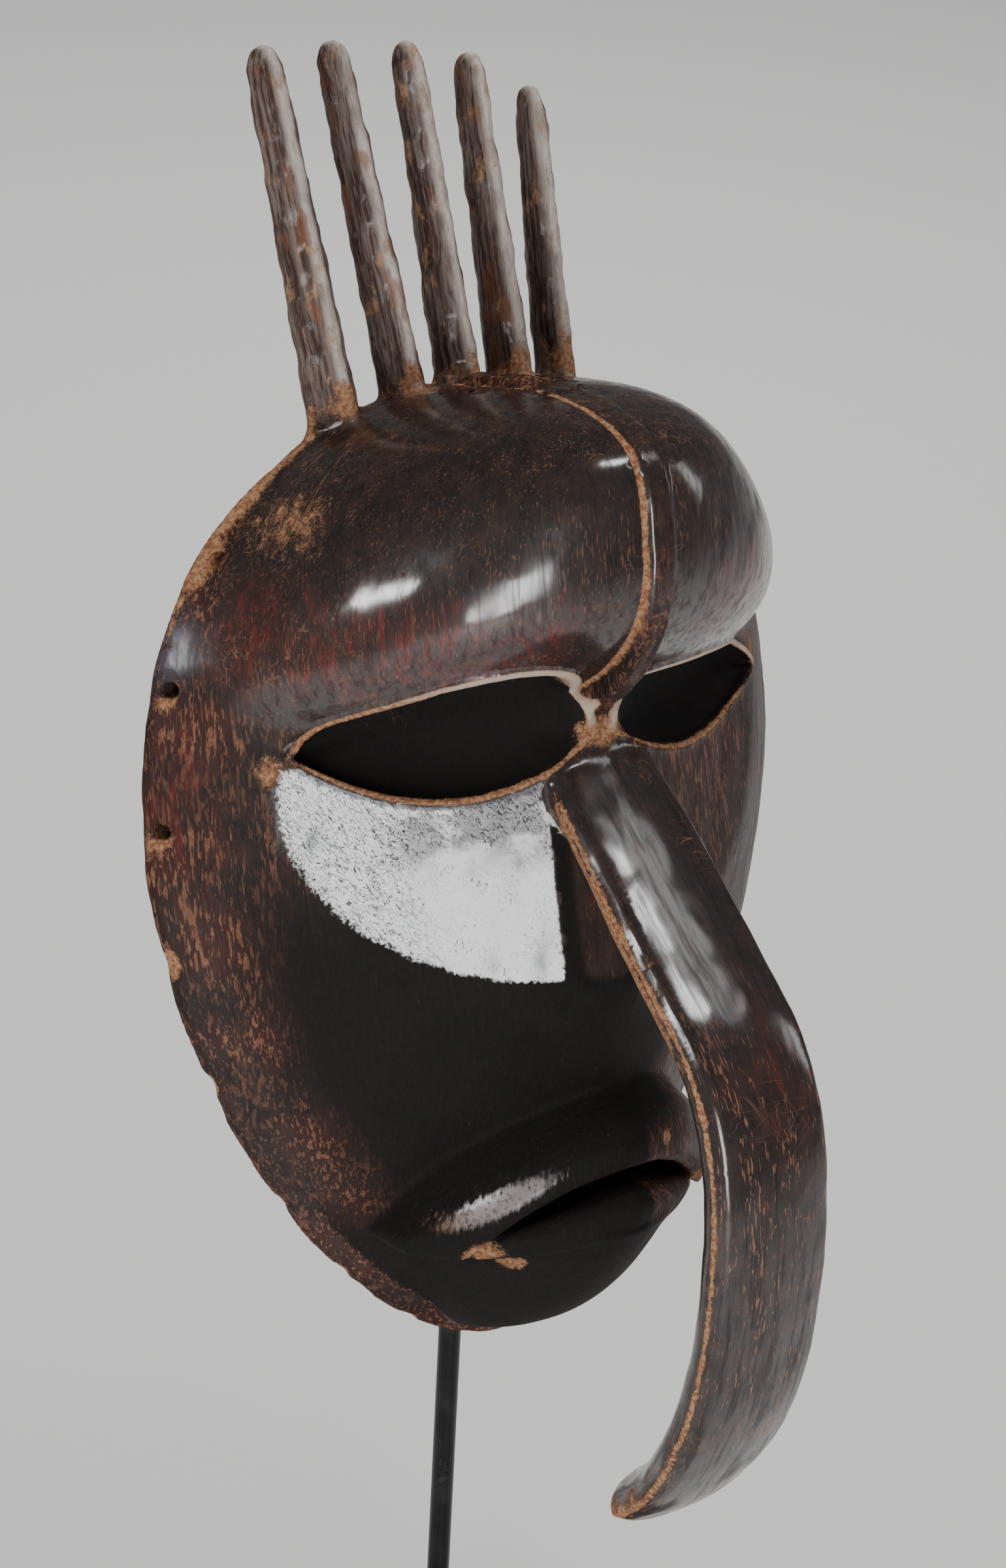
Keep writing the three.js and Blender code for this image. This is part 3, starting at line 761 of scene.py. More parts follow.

# %% [markdown]
# The thinned skin goes into the scene as one smooth mesh. It stands where the imported
# mask stands and takes its place.

# %% The mask's mesh
mask_mesh = raw_mesh("mask_skin", to_scene(*skin_points.T), skin_faces)
mask_mesh.polygons.foreach_set("use_smooth", np.ones(len(skin_faces), bool))
carved_mask = new_object("carved_mask", mask_mesh)
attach(carved_mask, "root")
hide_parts("mask")
print("the mask's mesh:", len(mask_mesh.vertices), "vertices in", carved_mask.name)

# %% [markdown]
# The finish changes over the surface: dust lies in the creases, the polish is best on
# the forehead, painted shade fills the eyes. Painting that by hand would be one way. Here each
# such zone is an attribute instead, a number at every vertex, worked out from the
# same formulas as the shape. Where a zone has a crisp edge, the attribute is the
# distance to that edge in millimetres, because a distance stays true between the
# vertices, and the material turns it into a sharp line.

# %% Helpers for attributes
skin_x, skin_d, skin_z = skin_points.T
skin_run, skin_ahead = along_trunk(skin_d, skin_z)


def give(name, values):
    """Stores one number, or a row of three, per vertex."""
    kind = "FLOAT" if values.ndim == 1 else "FLOAT_VECTOR"
    field_name = "value" if values.ndim == 1 else "vector"
    layer = mask_mesh.attributes.new(name, kind, "POINT")
    layer.data.foreach_set(field_name, np.ascontiguousarray(values, np.float32).ravel())


def blob(middle, size, place=skin_points.T):
    """A soft spot: 1 in its middle and 0 outside an ellipsoid with the given half sizes.

    The place is x, d and z unless other measures of each vertex are given.
    """
    far = sum(((a - m) / w) ** 2 for a, m, w in zip(place, middle, size))
    return np.clip(1 - far, 0, 1) ** 2


# %% Zones by place: trunk, tines, eyes, hollow
trunk_value = trunk_field(skin_x, skin_run, skin_ahead)
on_trunk = (1 - ramp(0.8, 2.6, np.abs(trunk_value))) * ramp(12, 24, skin_run)
trunk_scale = trunk_share(np.clip(skin_run / trunk_length, 0, 1))
arris = np.hypot(np.abs(skin_x) - TRUNK_HALF * trunk_scale, skin_ahead - 3.2)
on_tines = np.zeros(len(skin_points))
grain = np.stack([skin_x, skin_d, skin_z], axis=1)
for number, tine in enumerate(TINES):
    up, across, ahead, length = tine_frame(*skin_points.T, *tine[:2])
    here = (np.hypot(across, ahead) < 14) & (skin_z > 250)
    on_tines = np.maximum(on_tines, here * ramp(0.04, 0.16, up))
    own = np.stack([across + 40 * number, ahead, up * length], axis=1)
    grain[here] = own[here]
    give(f"tine_{number}", np.where(here, np.abs(across), 99))
of_trunk = on_trunk > 0.5
grain[of_trunk] = np.stack([skin_x, skin_ahead, skin_run], axis=1)[of_trunk]
_, eye_out, eye_rise = eye_fields(skin_x, skin_z)
faces_front = skin_d > cheek_plane(skin_x, skin_z) - 16
eye_out = np.where(faces_front & (on_trunk < 0.5), eye_out, 40)
inside_hollow = ramp(0.3, 1.5, 2.2 - np.abs(hollow_field(skin_x, skin_d, skin_z))) * ramp(0.5, 3, skin_d)
give("grain", grain)
give("on_trunk", on_trunk)
give("arris", np.where(on_trunk > 0.05, arris, 40))
give("on_tines", on_tines)
give("eye_out", eye_out)
give("eye_rise", eye_rise)
give("raw", inside_hollow)
print(f"zones: {of_trunk.sum()} vertices on the trunk, {(on_tines > 0.5).sum()} on the tines")

# %% Zones by form: cheek patch, wall, forehead
PALE_MARGIN, PALE_TOP, FAR_OUTSIDE = 0.9, 176.5, -8

in_wall = -wall_field(skin_x, skin_d, skin_z)
off_cheek = np.abs(skin_d - cheek_plane(skin_x, skin_z)) / CHEEK_STEEPNESS
on_cheek = 1 - ramp(0.7, 1.6, off_cheek)
# pale_in: how far inside the -x cheek patch, which is painted pale grey, partly as a thin film and
# partly as a painted reflection.
pale_in = np.minimum.reduce([
    in_wall - PALE_MARGIN, -RIDGE_HALF - 0.4 - skin_x, eye_out - 2.0, PALE_TOP - skin_z,
])
pale_in = np.where(on_cheek * (1 - on_trunk) > 0.5, pale_in, FAR_OUTSIDE)
dome_value = dome_field(skin_x, skin_d, skin_z)
on_dome = (1 - ramp(1, 4, dome_value)) * (1 - on_tines) * (1 - on_trunk) * ramp(176, 186, skin_z)
far_cheek = on_cheek * (skin_x > 0) * (skin_d > 12)
on_wall = np.maximum.reduce([1 - ramp(1, 5, in_wall), far_cheek, skin_d < 1.5])
on_wall = on_wall * (1 - on_dome) * (1 - on_trunk) * (1 - on_tines)
give("pale_in", pale_in)
give("on_dome", on_dome)
give("on_wall", on_wall)
print(f"patch: {(pale_in > 0).sum()} vertices, forehead: {(on_dome > 0.5).sum()}")

# %% Dirt and wear from the mesh: how hollow or how sharp the skin is at each vertex
mesh_edges = edges_of(skin_faces)
mask_mesh.update()
normals = np.empty(len(skin_points) * 3, np.float32)
mask_mesh.vertices.foreach_get("normal", normals)
scene_points = to_scene(*skin_points.T) / MM
smoothed = ease(scene_points, mesh_edges, 1)
cavity = ((smoothed - scene_points) * normals.reshape(-1, 3)).sum(axis=1)
for _ in range(2):
    cavity = ease(cavity[:, None].repeat(3, 1), mesh_edges, 0.6)[:, 0]
give("cavity", np.clip(cavity / 0.12, -1.5, 1.5))
print(f"cavity: {np.percentile(cavity, [1, 50, 99]).round(3)}")

# %% Where the dust lies
DUST_SPOTS = [
    # strength, middle and half sizes; first the two mouth corners, then the outer ends
    # of the eyes, then a place under the lower lip and one on the far side of the upper
    (0.8, (-33, 46, 47), (9, 12, 8)), (0.8, (33, 46, 47), (9, 12, 8)),
    (0.75, (-71, 25, 176), (6, 9, 8)), (0.75, (76, 18, 176), (6, 9, 8)),
    (0.9, (-22, 42, 41), (7, 8, 4)), (0.8, (13, 62, 71), (3, 6, 5)),
]
WORN_STRENGTH, WORN_SIZE = 1.6, (3.6, 3.6, 5.5)
HOLE_DUST, HOLE_DUST_DROP, HOLE_DUST_SIZE = 0.55, 3, (4, 6)

crown_edge = (1 - ramp(2, 7, skin_d)) * ramp(195, 235, skin_z) * (1 - on_tines)
tine_feet = sum(blob((root[0], 8, 256), (10, 12, 9)) for root, *_ in TINES)
tine_feet = tine_feet * (1 - ramp(262, 275, skin_z))
saddle = blob((0, 67, 179), (19, 16, 7)) * (1 - on_trunk)
lip_top = blob((0.5,), (4,), (skin_z - lip_crest(skin_x),)) * (1 - on_trunk)
lip_top = lip_top * (np.abs(skin_x) < UPPER_REACH + 3) * (skin_d > 25)
strands = ramp(14, 30, skin_run) * (1 - ramp(70, 115, skin_run)) * (1 - ramp(0, 3, skin_ahead))
strands = strands * on_trunk * (skin_ahead > -9)
tip_specks = on_trunk * ramp(205, 250, skin_run)
brow_patch = blob((-64, 22, 236), (26, 30, 20)) * (1 - on_tines)
dust = 0.75 * crown_edge + 0.7 * tine_feet + 1.5 * saddle + 0.2 * lip_top
dust = dust + 0.75 * strands + 0.42 * tip_specks + 0.62 * brow_patch
for strength, middle, size in DUST_SPOTS:
    dust = dust + strength * blob(middle, size)
for spot in WORN_SPOTS:
    dust = dust + WORN_STRENGTH * blob(spot, WORN_SIZE)
for height in HOLE_HEIGHTS:
    below = blob((HOLE_DEPTH, height - HOLE_DUST_DROP), HOLE_DUST_SIZE, (skin_d, skin_z))
    dust = dust + HOLE_DUST * below * (np.abs(skin_x) > 60)
give("dust", np.clip(dust, 0, 1.6))
print(f"dust on {(dust > 0.5).mean():.0%} of the vertices")

# %% Where the wood is red, blue-grey, painted with a highlight or painted with shade
LIP_LINE_HEIGHT, LIP_LINE_SLOPE, LIP_LINE_MIDDLE = 60.5, 0.63, -31

# A blue-grey patch on the -x side wall near the rim.
blue_grey = blob((-88, 6, 208), (14, 14, 16))
# The lip highlight: a band along the upper lip's bevel that is painted pale as a highlight.
lip_line = skin_z - LIP_LINE_HEIGHT - LIP_LINE_SLOPE * (skin_x - LIP_LINE_MIDDLE)
lip_highlight = blob((-29, 0), (17, 4.5), (skin_x, lip_line)) * (skin_d > 28) * (1 - on_trunk)
red = on_dome * ramp(190, 203, skin_z) * (1 - ramp(214, 226, skin_z)) * ramp(14, 26, np.abs(skin_x))
red = red + 0.8 * on_wall * blob((-86, 8, 170), (18, 16, 34))
red = red + 0.7 * on_trunk * blob((98, 6, 96), (26, 16, 40), (skin_run, skin_x, skin_z))
# Painted shade: near-black in the eye scoops, below the -x cheek, round the mouth, on the chin and
# beside the trunk.
below_cheek = on_wall * (1 - ramp(120, 168, skin_z)) * ramp(10, 30, skin_d) * (skin_x < 5)
round_mouth = blob((0, 50, 92), (46, 34, 40)) * (1 - on_trunk)
chin = (1 - on_trunk) * (skin_d > 8) * (1 - ramp(40, 62, skin_z))
beside_trunk = on_cheek * (np.abs(skin_x) < RIDGE_HALF) * (1 - on_trunk) * (skin_z < 170)
painted_shade = ramp(1.5, -1, eye_out) * (on_trunk < 0.5)
painted_shade = painted_shade + 0.95 * below_cheek + 1.4 * round_mouth + 0.8 * chin + beside_trunk
give("red", np.clip(red, 0, 1))
give("blue_grey", blue_grey)
give("lip_highlight", lip_highlight)
give("painted_shade", np.clip(painted_shade, 0, 1) * (1 - inside_hollow))
print(f"red on {(red > 0.5).mean():.0%} of the vertices, soot on {(painted_shade > 0.5).mean():.0%}")

# %% [markdown]
# The materials are built from shader nodes by a small helper: each call adds one
# node and hands back its output, so a finish reads like a formula. Everything is
# placed by Object coordinates turned into the mask's own millimetres, or by the
# attributes above, so a pattern sits still on the wood from any side.

# %% A helper that adds shader nodes
class Nodes:
    """Adds nodes to one tree, each from its inputs, and hands back an output."""

    def __init__(self, tree):
        self.tree = tree

    def add(self, kind, settings=None, out=0, **inputs):
        """Any node, with its inputs given by name."""
        node = self.tree.nodes.new(kind)
        for key, value in (settings or {}).items():
            setattr(node, key, value)
        for key, value in inputs.items():
            self.feed(node.inputs[key.replace("_", " ").title()], value)
        return node.outputs[out]

    def feed(self, socket, value):
        """Links an output to an input, or sets the input to a plain value."""
        if isinstance(value, bpy.types.NodeSocket):
            self.tree.links.new(value, socket)
        else:
            socket.default_value = value

    def attribute(self, name, out="Fac"):
        """A number stored at the vertices, or with out="Vector" a row of three."""
        return self.add("ShaderNodeAttribute", {"attribute_name": name}, out)

    def math(self, operation, a, b=0.0, c=0.0):
        """One step of arithmetic on up to three values."""
        node = self.tree.nodes.new("ShaderNodeMath")
        node.operation = operation
        for socket, value in zip(node.inputs, (a, b, c)):
            self.feed(socket, value)
        return node.outputs[0]

    def times(self, first, *others):
        """The product of all values."""
        for other in others:
            first = self.math("MULTIPLY", first, other)
        return first

    def plus(self, first, *others):
        """The sum of all values."""
        for other in others:
            first = self.math("ADD", first, other)
        return first

    def rest(self, value):
        """What is missing to 1."""
        return self.math("SUBTRACT", 1.0, value)

    def away(self, value, middle):
        """How far a value is from the middle, without its sign."""
        return self.math("ABSOLUTE", self.math("SUBTRACT", value, middle))

    def rise(self, value, low, high, start=0.0, end=1.0):
        """A smooth step of value between low and high, from start to end."""
        node = self.tree.nodes.new("ShaderNodeMapRange")
        node.interpolation_type = "SMOOTHSTEP"
        for socket, part in zip(node.inputs, (value, low, high, start, end)):
            self.feed(socket, part)
        return node.outputs[0]

    def mix(self, share, a, b):
        """Colour a at share 0 and colour b at share 1."""
        node = self.tree.nodes.new("ShaderNodeMix")
        node.data_type = "RGBA"
        for index, value in ((0, share), (6, a), (7, b)):
            self.feed(node.inputs[index], value)
        return node.outputs[2]

    def place(self, vector, scale=(1, 1, 1), turn=(0, 0, 0), shift=(0, 0, 0)):
        """Coordinates scaled, then turned, then shifted."""
        return self.add("ShaderNodeMapping", vector=vector, scale=scale, rotation=turn, location=shift)

    def noise(self, vector, scale, detail=3.0, roughness=0.5, distortion=0.0):
        """A cloudy pattern of values about 0.5, scale waves to a unit."""
        return self.add("ShaderNodeTexNoise", vector=vector, scale=scale, detail=detail,
                        roughness=roughness, distortion=distortion)


def new_group(name, inputs, outputs):
    """A shader node group of named sockets: its nodes, and the sockets at both its ends."""
    tree = bpy.data.node_groups.new(name, "ShaderNodeTree")
    tree.interface.new_socket("Vector", in_out="INPUT", socket_type="NodeSocketVector")
    for socket, value in inputs.items():
        made = tree.interface.new_socket(socket, in_out="INPUT", socket_type="NodeSocketFloat")
        made.default_value = value
    for socket in outputs:
        tree.interface.new_socket(socket, in_out="OUTPUT", socket_type="NodeSocketFloat")
    start = tree.nodes.new("NodeGroupInput")
    end = tree.nodes.new("NodeGroupOutput")
    return Nodes(tree), start.outputs, end.inputs


def use_group(nodes, group, **inputs):
    """Places a shared group in a material, with that material's own values."""
    node = nodes.tree.nodes.new("ShaderNodeGroup")
    node.node_tree = bpy.data.node_groups[group]
    for key, value in inputs.items():
        nodes.feed(node.inputs[key.replace("_", " ").title()], value)
    return node.outputs


# %% [markdown]
# Three effects come up again and again, on the wood and on the stand: short flecks
# along the grain, fine scratches, and patchy dust. Each is one group. Flecks are
# noise stretched along one axis and cut off high, so only its peaks are left.
# Scratches are thin contours of a noise that is stretched even more, in three
# directions. Dust takes a plain amount and breaks its edge up.

# %% Shared effects: flecks, scratches, dust
SCRATCH_RUNS = ((0.5, 0.05), (-0.9, 0.07), (1.5, 0.06))

values = {"Size": 1.0, "Stretch": 0.15, "Cut": 0.6}
g, given, result = new_group("flecks", values, ["Mask", "Height"])
squeeze = g.add("ShaderNodeCombineXYZ", x=1.0, y=1.0, z=given["Stretch"])
stretched = g.tree.nodes.new("ShaderNodeVectorMath")
stretched.operation = "MULTIPLY"
g.feed(stretched.inputs[0], given["Vector"])
g.feed(stretched.inputs[1], squeeze)
fine = g.noise(stretched.outputs[0], g.math("DIVIDE", 1.0, given["Size"]), 2.0, 0.55, 0.3)
broad = g.noise(stretched.outputs[0], g.math("DIVIDE", 0.12, given["Size"]), 2.0)
level = g.plus(fine, g.math("MULTIPLY_ADD", broad, 0.35, -0.175))
high = g.math("ADD", given["Cut"], 0.055)
g.feed(result["Mask"], g.rise(level, given["Cut"], high))
g.feed(result["Height"], level)

g, given, result = new_group("scratches", {"Size": 1.0, "Width": 0.012}, ["Mask"])
found = None
for turn, stretch in SCRATCH_RUNS:
    turned = g.place(given["Vector"], turn=(0.2, turn, 0.3))
    laid = g.place(turned, (1, 1, stretch), shift=(7 * turn, 0, 3))
    line = g.noise(laid, g.math("DIVIDE", 0.8, given["Size"]), 1.0, 0.5, 0.0)
    thin = g.rise(g.away(line, 0.5), 0.0, given["Width"], 1.0, 0.0)
    patch = g.rise(g.noise(given["Vector"], g.math("DIVIDE", 0.09, given["Size"])), 0.52, 0.62)
    line = g.times(thin, patch)
    found = line if found is None else g.math("MAXIMUM", found, line)
g.feed(result["Mask"], found)

g, given, result = new_group("dust", {"Amount": 0.0, "Size": 1.0}, ["Mask"])
coarse = g.noise(given["Vector"], g.math("DIVIDE", 0.35, given["Size"]), 4.0, 0.62)
fine = g.noise(given["Vector"], g.math("DIVIDE", 2.0, given["Size"]), 3.0, 0.6)
broken = g.plus(coarse, g.times(fine, 0.7), given["Amount"])
g.feed(result["Mask"], g.times(g.rise(broken, 1.2, 1.55), g.rise(given["Amount"], 0.02, 0.2)))
print("groups:", sorted(group.name for group in bpy.data.node_groups))

# %% [markdown]
# The wood has been oiled, smoked and handled until it is nearly black, but not
# evenly. Reddish wood shows where hands polished it, pale flecks of bare grain show
# on the side wall, dust the colour of dry earth sits in every crease, and the tines are
# weathered grey, with painted highlights along their ridges. The eyes, the mouth, the
# chin and the shaded parts of the face are painted near-black as painted shade, with
# no shine. One flat facet, the cheek on the -x side, is painted pale grey with the
# grain drawn in it: partly a thin pale film, partly a painted reflection. The upper
# lip carries a painted highlight, and the eye rims and the band's far edge carry dust
# mixed with painted highlights. The base colour is built up in that order, layer by
# layer, and each layer's mask is used again for the polish and the bump.

# %% Colours of the wood
DARK, DEEP, BROWN = (0.011, 0.0055, 0.0042, 1), (0.002, 0.0015, 0.0013, 1), (0.032, 0.0125, 0.0078, 1)
REDDISH, RED = (0.048, 0.011, 0.007, 1), (0.17, 0.012, 0.008, 1)
EARTH, RUST, BARE = (0.46, 0.255, 0.135, 1), (0.22, 0.085, 0.04, 1), (0.34, 0.155, 0.09, 1)
ASH, RIDGE_WEAR_AND_HIGHLIGHT, TINE = (0.2, 0.155, 0.135, 1), (0.7, 0.62, 0.55, 1), (0.045, 0.02, 0.014, 1)
FILM_AND_GLARE, FILM_AND_GLARE_MAUVE, GRAIN_LINE = (0.3, 0.315, 0.325, 1), (0.13, 0.112, 0.124, 1), (0.02, 0.017, 0.018, 1)
RAW, BLUE_GREY = (0.1, 0.052, 0.03, 1), (0.12, 0.135, 0.19, 1)
LIP_HIGHLIGHT, RIM_DUST_AND_HIGHLIGHT = (0.3, 0.26, 0.25, 1), (0.64, 0.54, 0.46, 1)


def new_material(name):
    """A material with its node helper and its surface shader."""
    material = bpy.data.materials.new(name)
    material.use_nodes = True
    return material, Nodes(material.node_tree), material.node_tree.nodes["Principled BSDF"]


# %% The carved wood: coordinates and masks
wood, n, surface = new_material("carved_wood")
thing = n.add("ShaderNodeTexCoord", out="Object")
spot = n.place(thing, (1 / MM,) * 3, (LEAN, 0, 0))
along = n.attribute("grain", "Vector")
across_x = n.add("ShaderNodeSeparateXYZ", vector=spot, out="X")
height = n.math("SUBTRACT", n.add("ShaderNodeSeparateXYZ", vector=spot, out="Z"), CHIN_HEIGHT)
masks = {name: n.attribute(name) for name in (
    "on_trunk", "arris", "on_tines", "eye_out", "eye_rise", "raw", "pale_in", "on_dome",
    "on_wall", "cavity", "dust", "red", "painted_shade", "blue_grey", "lip_highlight",
)}
broad = n.noise(spot, 0.035, 3.0)
medium = n.noise(spot, 0.16, 4.0, 0.6)
small = n.noise(spot, 0.9, 4.0, 0.6)
fibre = n.noise(n.place(along, (1, 1, 0.12)), 1.3, 4.0, 0.65, 0.4)
streaks = n.noise(n.place(along, (1, 1, 0.1)), 0.7, 4.0, 0.7, 0.6)
wall_flecks = use_group(n, "flecks", vector=along, size=0.95, stretch=0.2, cut=0.55)
fine_flecks = use_group(n, "flecks", vector=along, size=0.5, stretch=0.14, cut=0.62)
scratched = use_group(n, "scratches", vector=spot, size=4.0, width=0.006)["Mask"]
outside_shade = n.rise(masks["painted_shade"], 0.1, 0.8, 1.0, 0.25)
print(f"coordinates and masks: {len(n.tree.nodes)} nodes so far")

# %% The carved wood: base, red zones, flecks
TRUNK_FLECK_LEVELS = 135.0, 85.0

colour = n.mix(n.rise(medium, 0.4, 0.68), DARK, BROWN)
colour = n.mix(n.times(n.rise(broad, 0.4, 0.62), masks["on_wall"], 0.7), colour, REDDISH)
colour = n.mix(n.times(n.rise(fibre, 0.5, 0.7), 0.45), colour, BROWN)
colour = n.mix(n.times(n.rise(fibre, 0.5, 0.36), 0.5), colour, DEEP)
red_here = n.times(n.rise(streaks, 0.46, 0.62), n.rise(medium, 0.36, 0.56))
colour = n.mix(n.times(masks["red"], 0.35), colour, REDDISH)
colour = n.mix(n.times(masks["red"], red_here, 0.6), colour, RED)
fleck_colour = n.mix(n.rise(small, 0.4, 0.62), RUST, BARE)
in_swarms = n.rise(n.rise(broad, 0.35, 0.62), 0.0, 1.0, 0.35, 1.0)
fleck_wall = n.times(wall_flecks["Mask"], masks["on_wall"], in_swarms, outside_shade)
more_low = n.times(masks["on_trunk"], n.rise(height, *TRUNK_FLECK_LEVELS, -0.2, 0.4))
fleck_all = n.times(fine_flecks["Mask"], outside_shade, n.plus(0.28, more_low))
colour = n.mix(n.times(fleck_wall, 0.6), colour, fleck_colour)
colour = n.mix(fleck_all, colour, BARE)
colour = n.mix(n.times(masks["blue_grey"], n.rise(medium, 0.3, 0.6), 0.6), colour, BLUE_GREY)
print(f"base, red and flecks: {len(n.tree.nodes)} nodes so far")

# %% The carved wood: weathered tines, with painted highlights on their ridges
tine_fibre = n.noise(n.place(along, (1, 1, 0.05)), 0.8, 5.0, 0.7, 0.8)
tine_patch = n.noise(n.place(along, (1, 1, 0.4)), 0.16, 4.0, 0.6)
tine_colour = n.mix(n.rise(tine_fibre, 0.4, 0.64), TINE, ASH)
ridge_near = n.attribute("tine_0")
for number in range(1, len(TINES)):
    ridge_near = n.math("MINIMUM", ridge_near, n.attribute(f"tine_{number}"))
# The pale lines along the tines' ridges are partly weathered wood and partly a painted highlight.
ridge = n.times(n.rise(ridge_near, 2.5, 0.3), n.rise(tine_patch, 0.3, 0.55, 0.4, 1.0))
tine_colour = n.mix(n.times(ridge, n.rise(tine_fibre, 0.26, 0.44), 0.9), tine_colour, RIDGE_WEAR_AND_HIGHLIGHT)
tine_colour = n.mix(n.times(n.rise(tine_patch, 0.54, 0.64), 0.6), tine_colour, RUST)
tine_earth = n.rise(n.noise(n.place(along, (1, 1, 0.5)), 0.22, 5.0, 0.7), 0.55, 0.68)
tine_colour = n.mix(n.times(tine_earth, 0.75), tine_colour, EARTH)
colour = n.mix(n.times(masks["on_tines"], 0.92), colour, tine_colour)
print(f"tines: {len(n.tree.nodes)} nodes so far")

# %% The carved wood: raw hollow, painted shade and creases
raw_grain = n.noise(n.place(spot, (1, 1, 0.15)), 0.5, 4.0, 0.6)
colour = n.mix(masks["raw"], colour, n.mix(n.rise(raw_grain, 0.35, 0.7), RAW, DARK))
# Painted shade: where the shade mask is high, the colour goes to near-black DEEP.
shade_dark = n.times(n.rise(n.plus(masks["painted_shade"], n.times(medium, 0.8)), 0.5, 1.2), 0.9)
colour = n.mix(shade_dark, colour, DEEP)
crease = n.times(n.rise(masks["cavity"], 0.15, 1.0), n.rest(masks["on_dome"]), outside_shade)
print(f"hollow, soot and creases: {len(n.tree.nodes)} nodes so far")

# %% The carved wood: the painted highlight on the upper lip
LIP_EARTH_END = -34.0, -44.0

# A painted highlight along the upper lip: pale grey, turning earth-coloured towards its -x end.
ragged = n.plus(masks["lip_highlight"], n.times(n.math("SUBTRACT", streaks, 0.5), 1.1))
bar = n.times(n.rise(ragged, 0.15, 0.75), n.rise(small, 0.25, 0.5), 0.85)
colour = n.mix(bar, colour, n.mix(n.rise(across_x, *LIP_EARTH_END), LIP_HIGHLIGHT, EARTH))
print(f"lip: {len(n.tree.nodes)} nodes so far")

# %% The carved wood: earth-coloured dust in lines and patches
UPPER_RIM_EDGE, LOWER_RIM_EDGE, ARRIS_EDGE = (2.8, 1.5), (1.9, 0.9), (1.5, 0.3)
UPPER_RIM_LEVELS, LOWER_RIM_LEVELS, RIM_TAN_END = (-4.0, 1.0), (-4.0, -8.0), (-58.0, -35.0)
BAND_EDGE, FAR_BAND_EDGE, BAND_GAP, FAR_BAND_GAP = (1.3, 0.1), (0.7, 0.1), 0.5, 0.2

upper_rim = n.times(
    n.rise(masks["eye_rise"], *UPPER_RIM_LEVELS),
    n.rise(masks["eye_out"], -0.4, 0.5), n.rise(masks["eye_out"], *UPPER_RIM_EDGE),
)
lower_rim = n.times(
    n.rise(masks["eye_rise"], *LOWER_RIM_LEVELS),
    n.rise(masks["eye_out"], -0.3, 0.4), n.rise(masks["eye_out"], *LOWER_RIM_EDGE),
)
band_left = n.away(across_x, -BAND_HALF - BAND_GAP)
band_right = n.away(across_x, BAND_HALF + FAR_BAND_GAP)
# The line at the band's far (+x) edge is a painted highlight, laid on in the dust's earth colour.
far_edge_highlight = n.times(n.rise(band_right, *FAR_BAND_EDGE), 0.45)
band_line = n.times(n.plus(n.rise(band_left, *BAND_EDGE), far_edge_highlight), masks["on_dome"])
arris_line = n.times(n.rise(masks["arris"], *ARRIS_EDGE), masks["on_trunk"])
lines = n.plus(
    n.times(upper_rim, 1.4), n.times(lower_rim, 0.7), n.times(band_line, 1.1),
    n.times(arris_line, 1.1),
)
in_lines = n.times(n.plus(n.times(crease, 0.3), n.times(lines, 0.85)), n.rest(masks["raw"]))
amount = n.plus(masks["dust"], in_lines)
dusty = use_group(n, "dust", vector=spot, amount=amount, size=1.1)["Mask"]
earth = n.mix(n.rise(small, 0.35, 0.65), RUST, EARTH)
# The upper eye rims are near-white tan towards the nose and on the +x eye: dust with a painted highlight
# on the bead.
earth = n.mix(n.times(upper_rim, n.rise(across_x, *RIM_TAN_END), 0.7), earth, RIM_DUST_AND_HIGHLIGHT)
colour = n.mix(n.times(dusty, 0.9), colour, earth)
colour = n.mix(n.times(scratched, n.plus(masks["on_dome"], masks["on_trunk"]), 0.55), colour, BARE)
print(f"dust: {len(n.tree.nodes)} nodes so far")

# %% The carved wood: the pale film and painted reflection on one cheek
WRINKLE_SIDE, WRINKLE_LEVELS = (-34.0, -66.0), (146.0, 162.0)
FALLOFF_SIDE, FALLOFF_LEVELS = (-56.0, -40.0), (139.0, 151.0)

slanted = n.place(spot, turn=(0.3, 0.7, 0.2))
wrinkle = n.noise(n.place(slanted, (1, 1, 0.3)), 0.7, 3.0, 0.55, 1.6)
leftward = n.rise(across_x, *WRINKLE_SIDE)
upward = n.rise(height, *WRINKLE_LEVELS)
dense = n.plus(leftward, n.times(upward, 0.7), n.times(medium, 0.9))
wrinkle_lines = n.times(n.rise(n.away(wrinkle, 0.5), 0.034, 0.006), n.rise(dense, 0.3, 0.95))
pores = use_group(n, "flecks", vector=spot, size=0.6, stretch=0.6, cut=0.64)["Mask"]
# The mauve shading towards the patch's upper inner part is painted falloff of the reflection.
glare_falloff = n.times(n.rise(n.noise(spot, 0.09, 4.0, 0.6), 0.36, 0.52), n.rise(height, *FALLOFF_LEVELS))
glare_falloff = n.times(glare_falloff, n.rise(across_x, *FALLOFF_SIDE), 0.8)
# The patch colour: pale grey, partly a thin film and partly a painted reflection of the key panel, with
# grain lines.
film_and_glare = n.mix(n.times(glare_falloff, 0.9), FILM_AND_GLARE, FILM_AND_GLARE_MAUVE)
film_and_glare = n.mix(n.times(n.rise(small, 0.56, 0.7), n.rise(dense, 0.3, 1.0), 0.6), film_and_glare, FILM_AND_GLARE_MAUVE)
film_and_glare = n.mix(n.times(wrinkle_lines, 0.9), film_and_glare, GRAIN_LINE)
film_and_glare = n.mix(n.times(pores, 0.4), film_and_glare, GRAIN_LINE)
edge_noise = n.times(n.math("SUBTRACT", small, 0.5), 2.4)
film_and_glare_here = n.times(
    n.rise(n.plus(masks["pale_in"], edge_noise), -0.1, 0.5), n.rise(masks["pale_in"], -0.2, 0.1),
    n.rest(n.times(dusty, 0.8)),
)
colour = n.mix(film_and_glare_here, colour, film_and_glare)
n.feed(surface.inputs["Base Color"], colour)
print(f"film: {len(n.tree.nodes)} nodes so far")

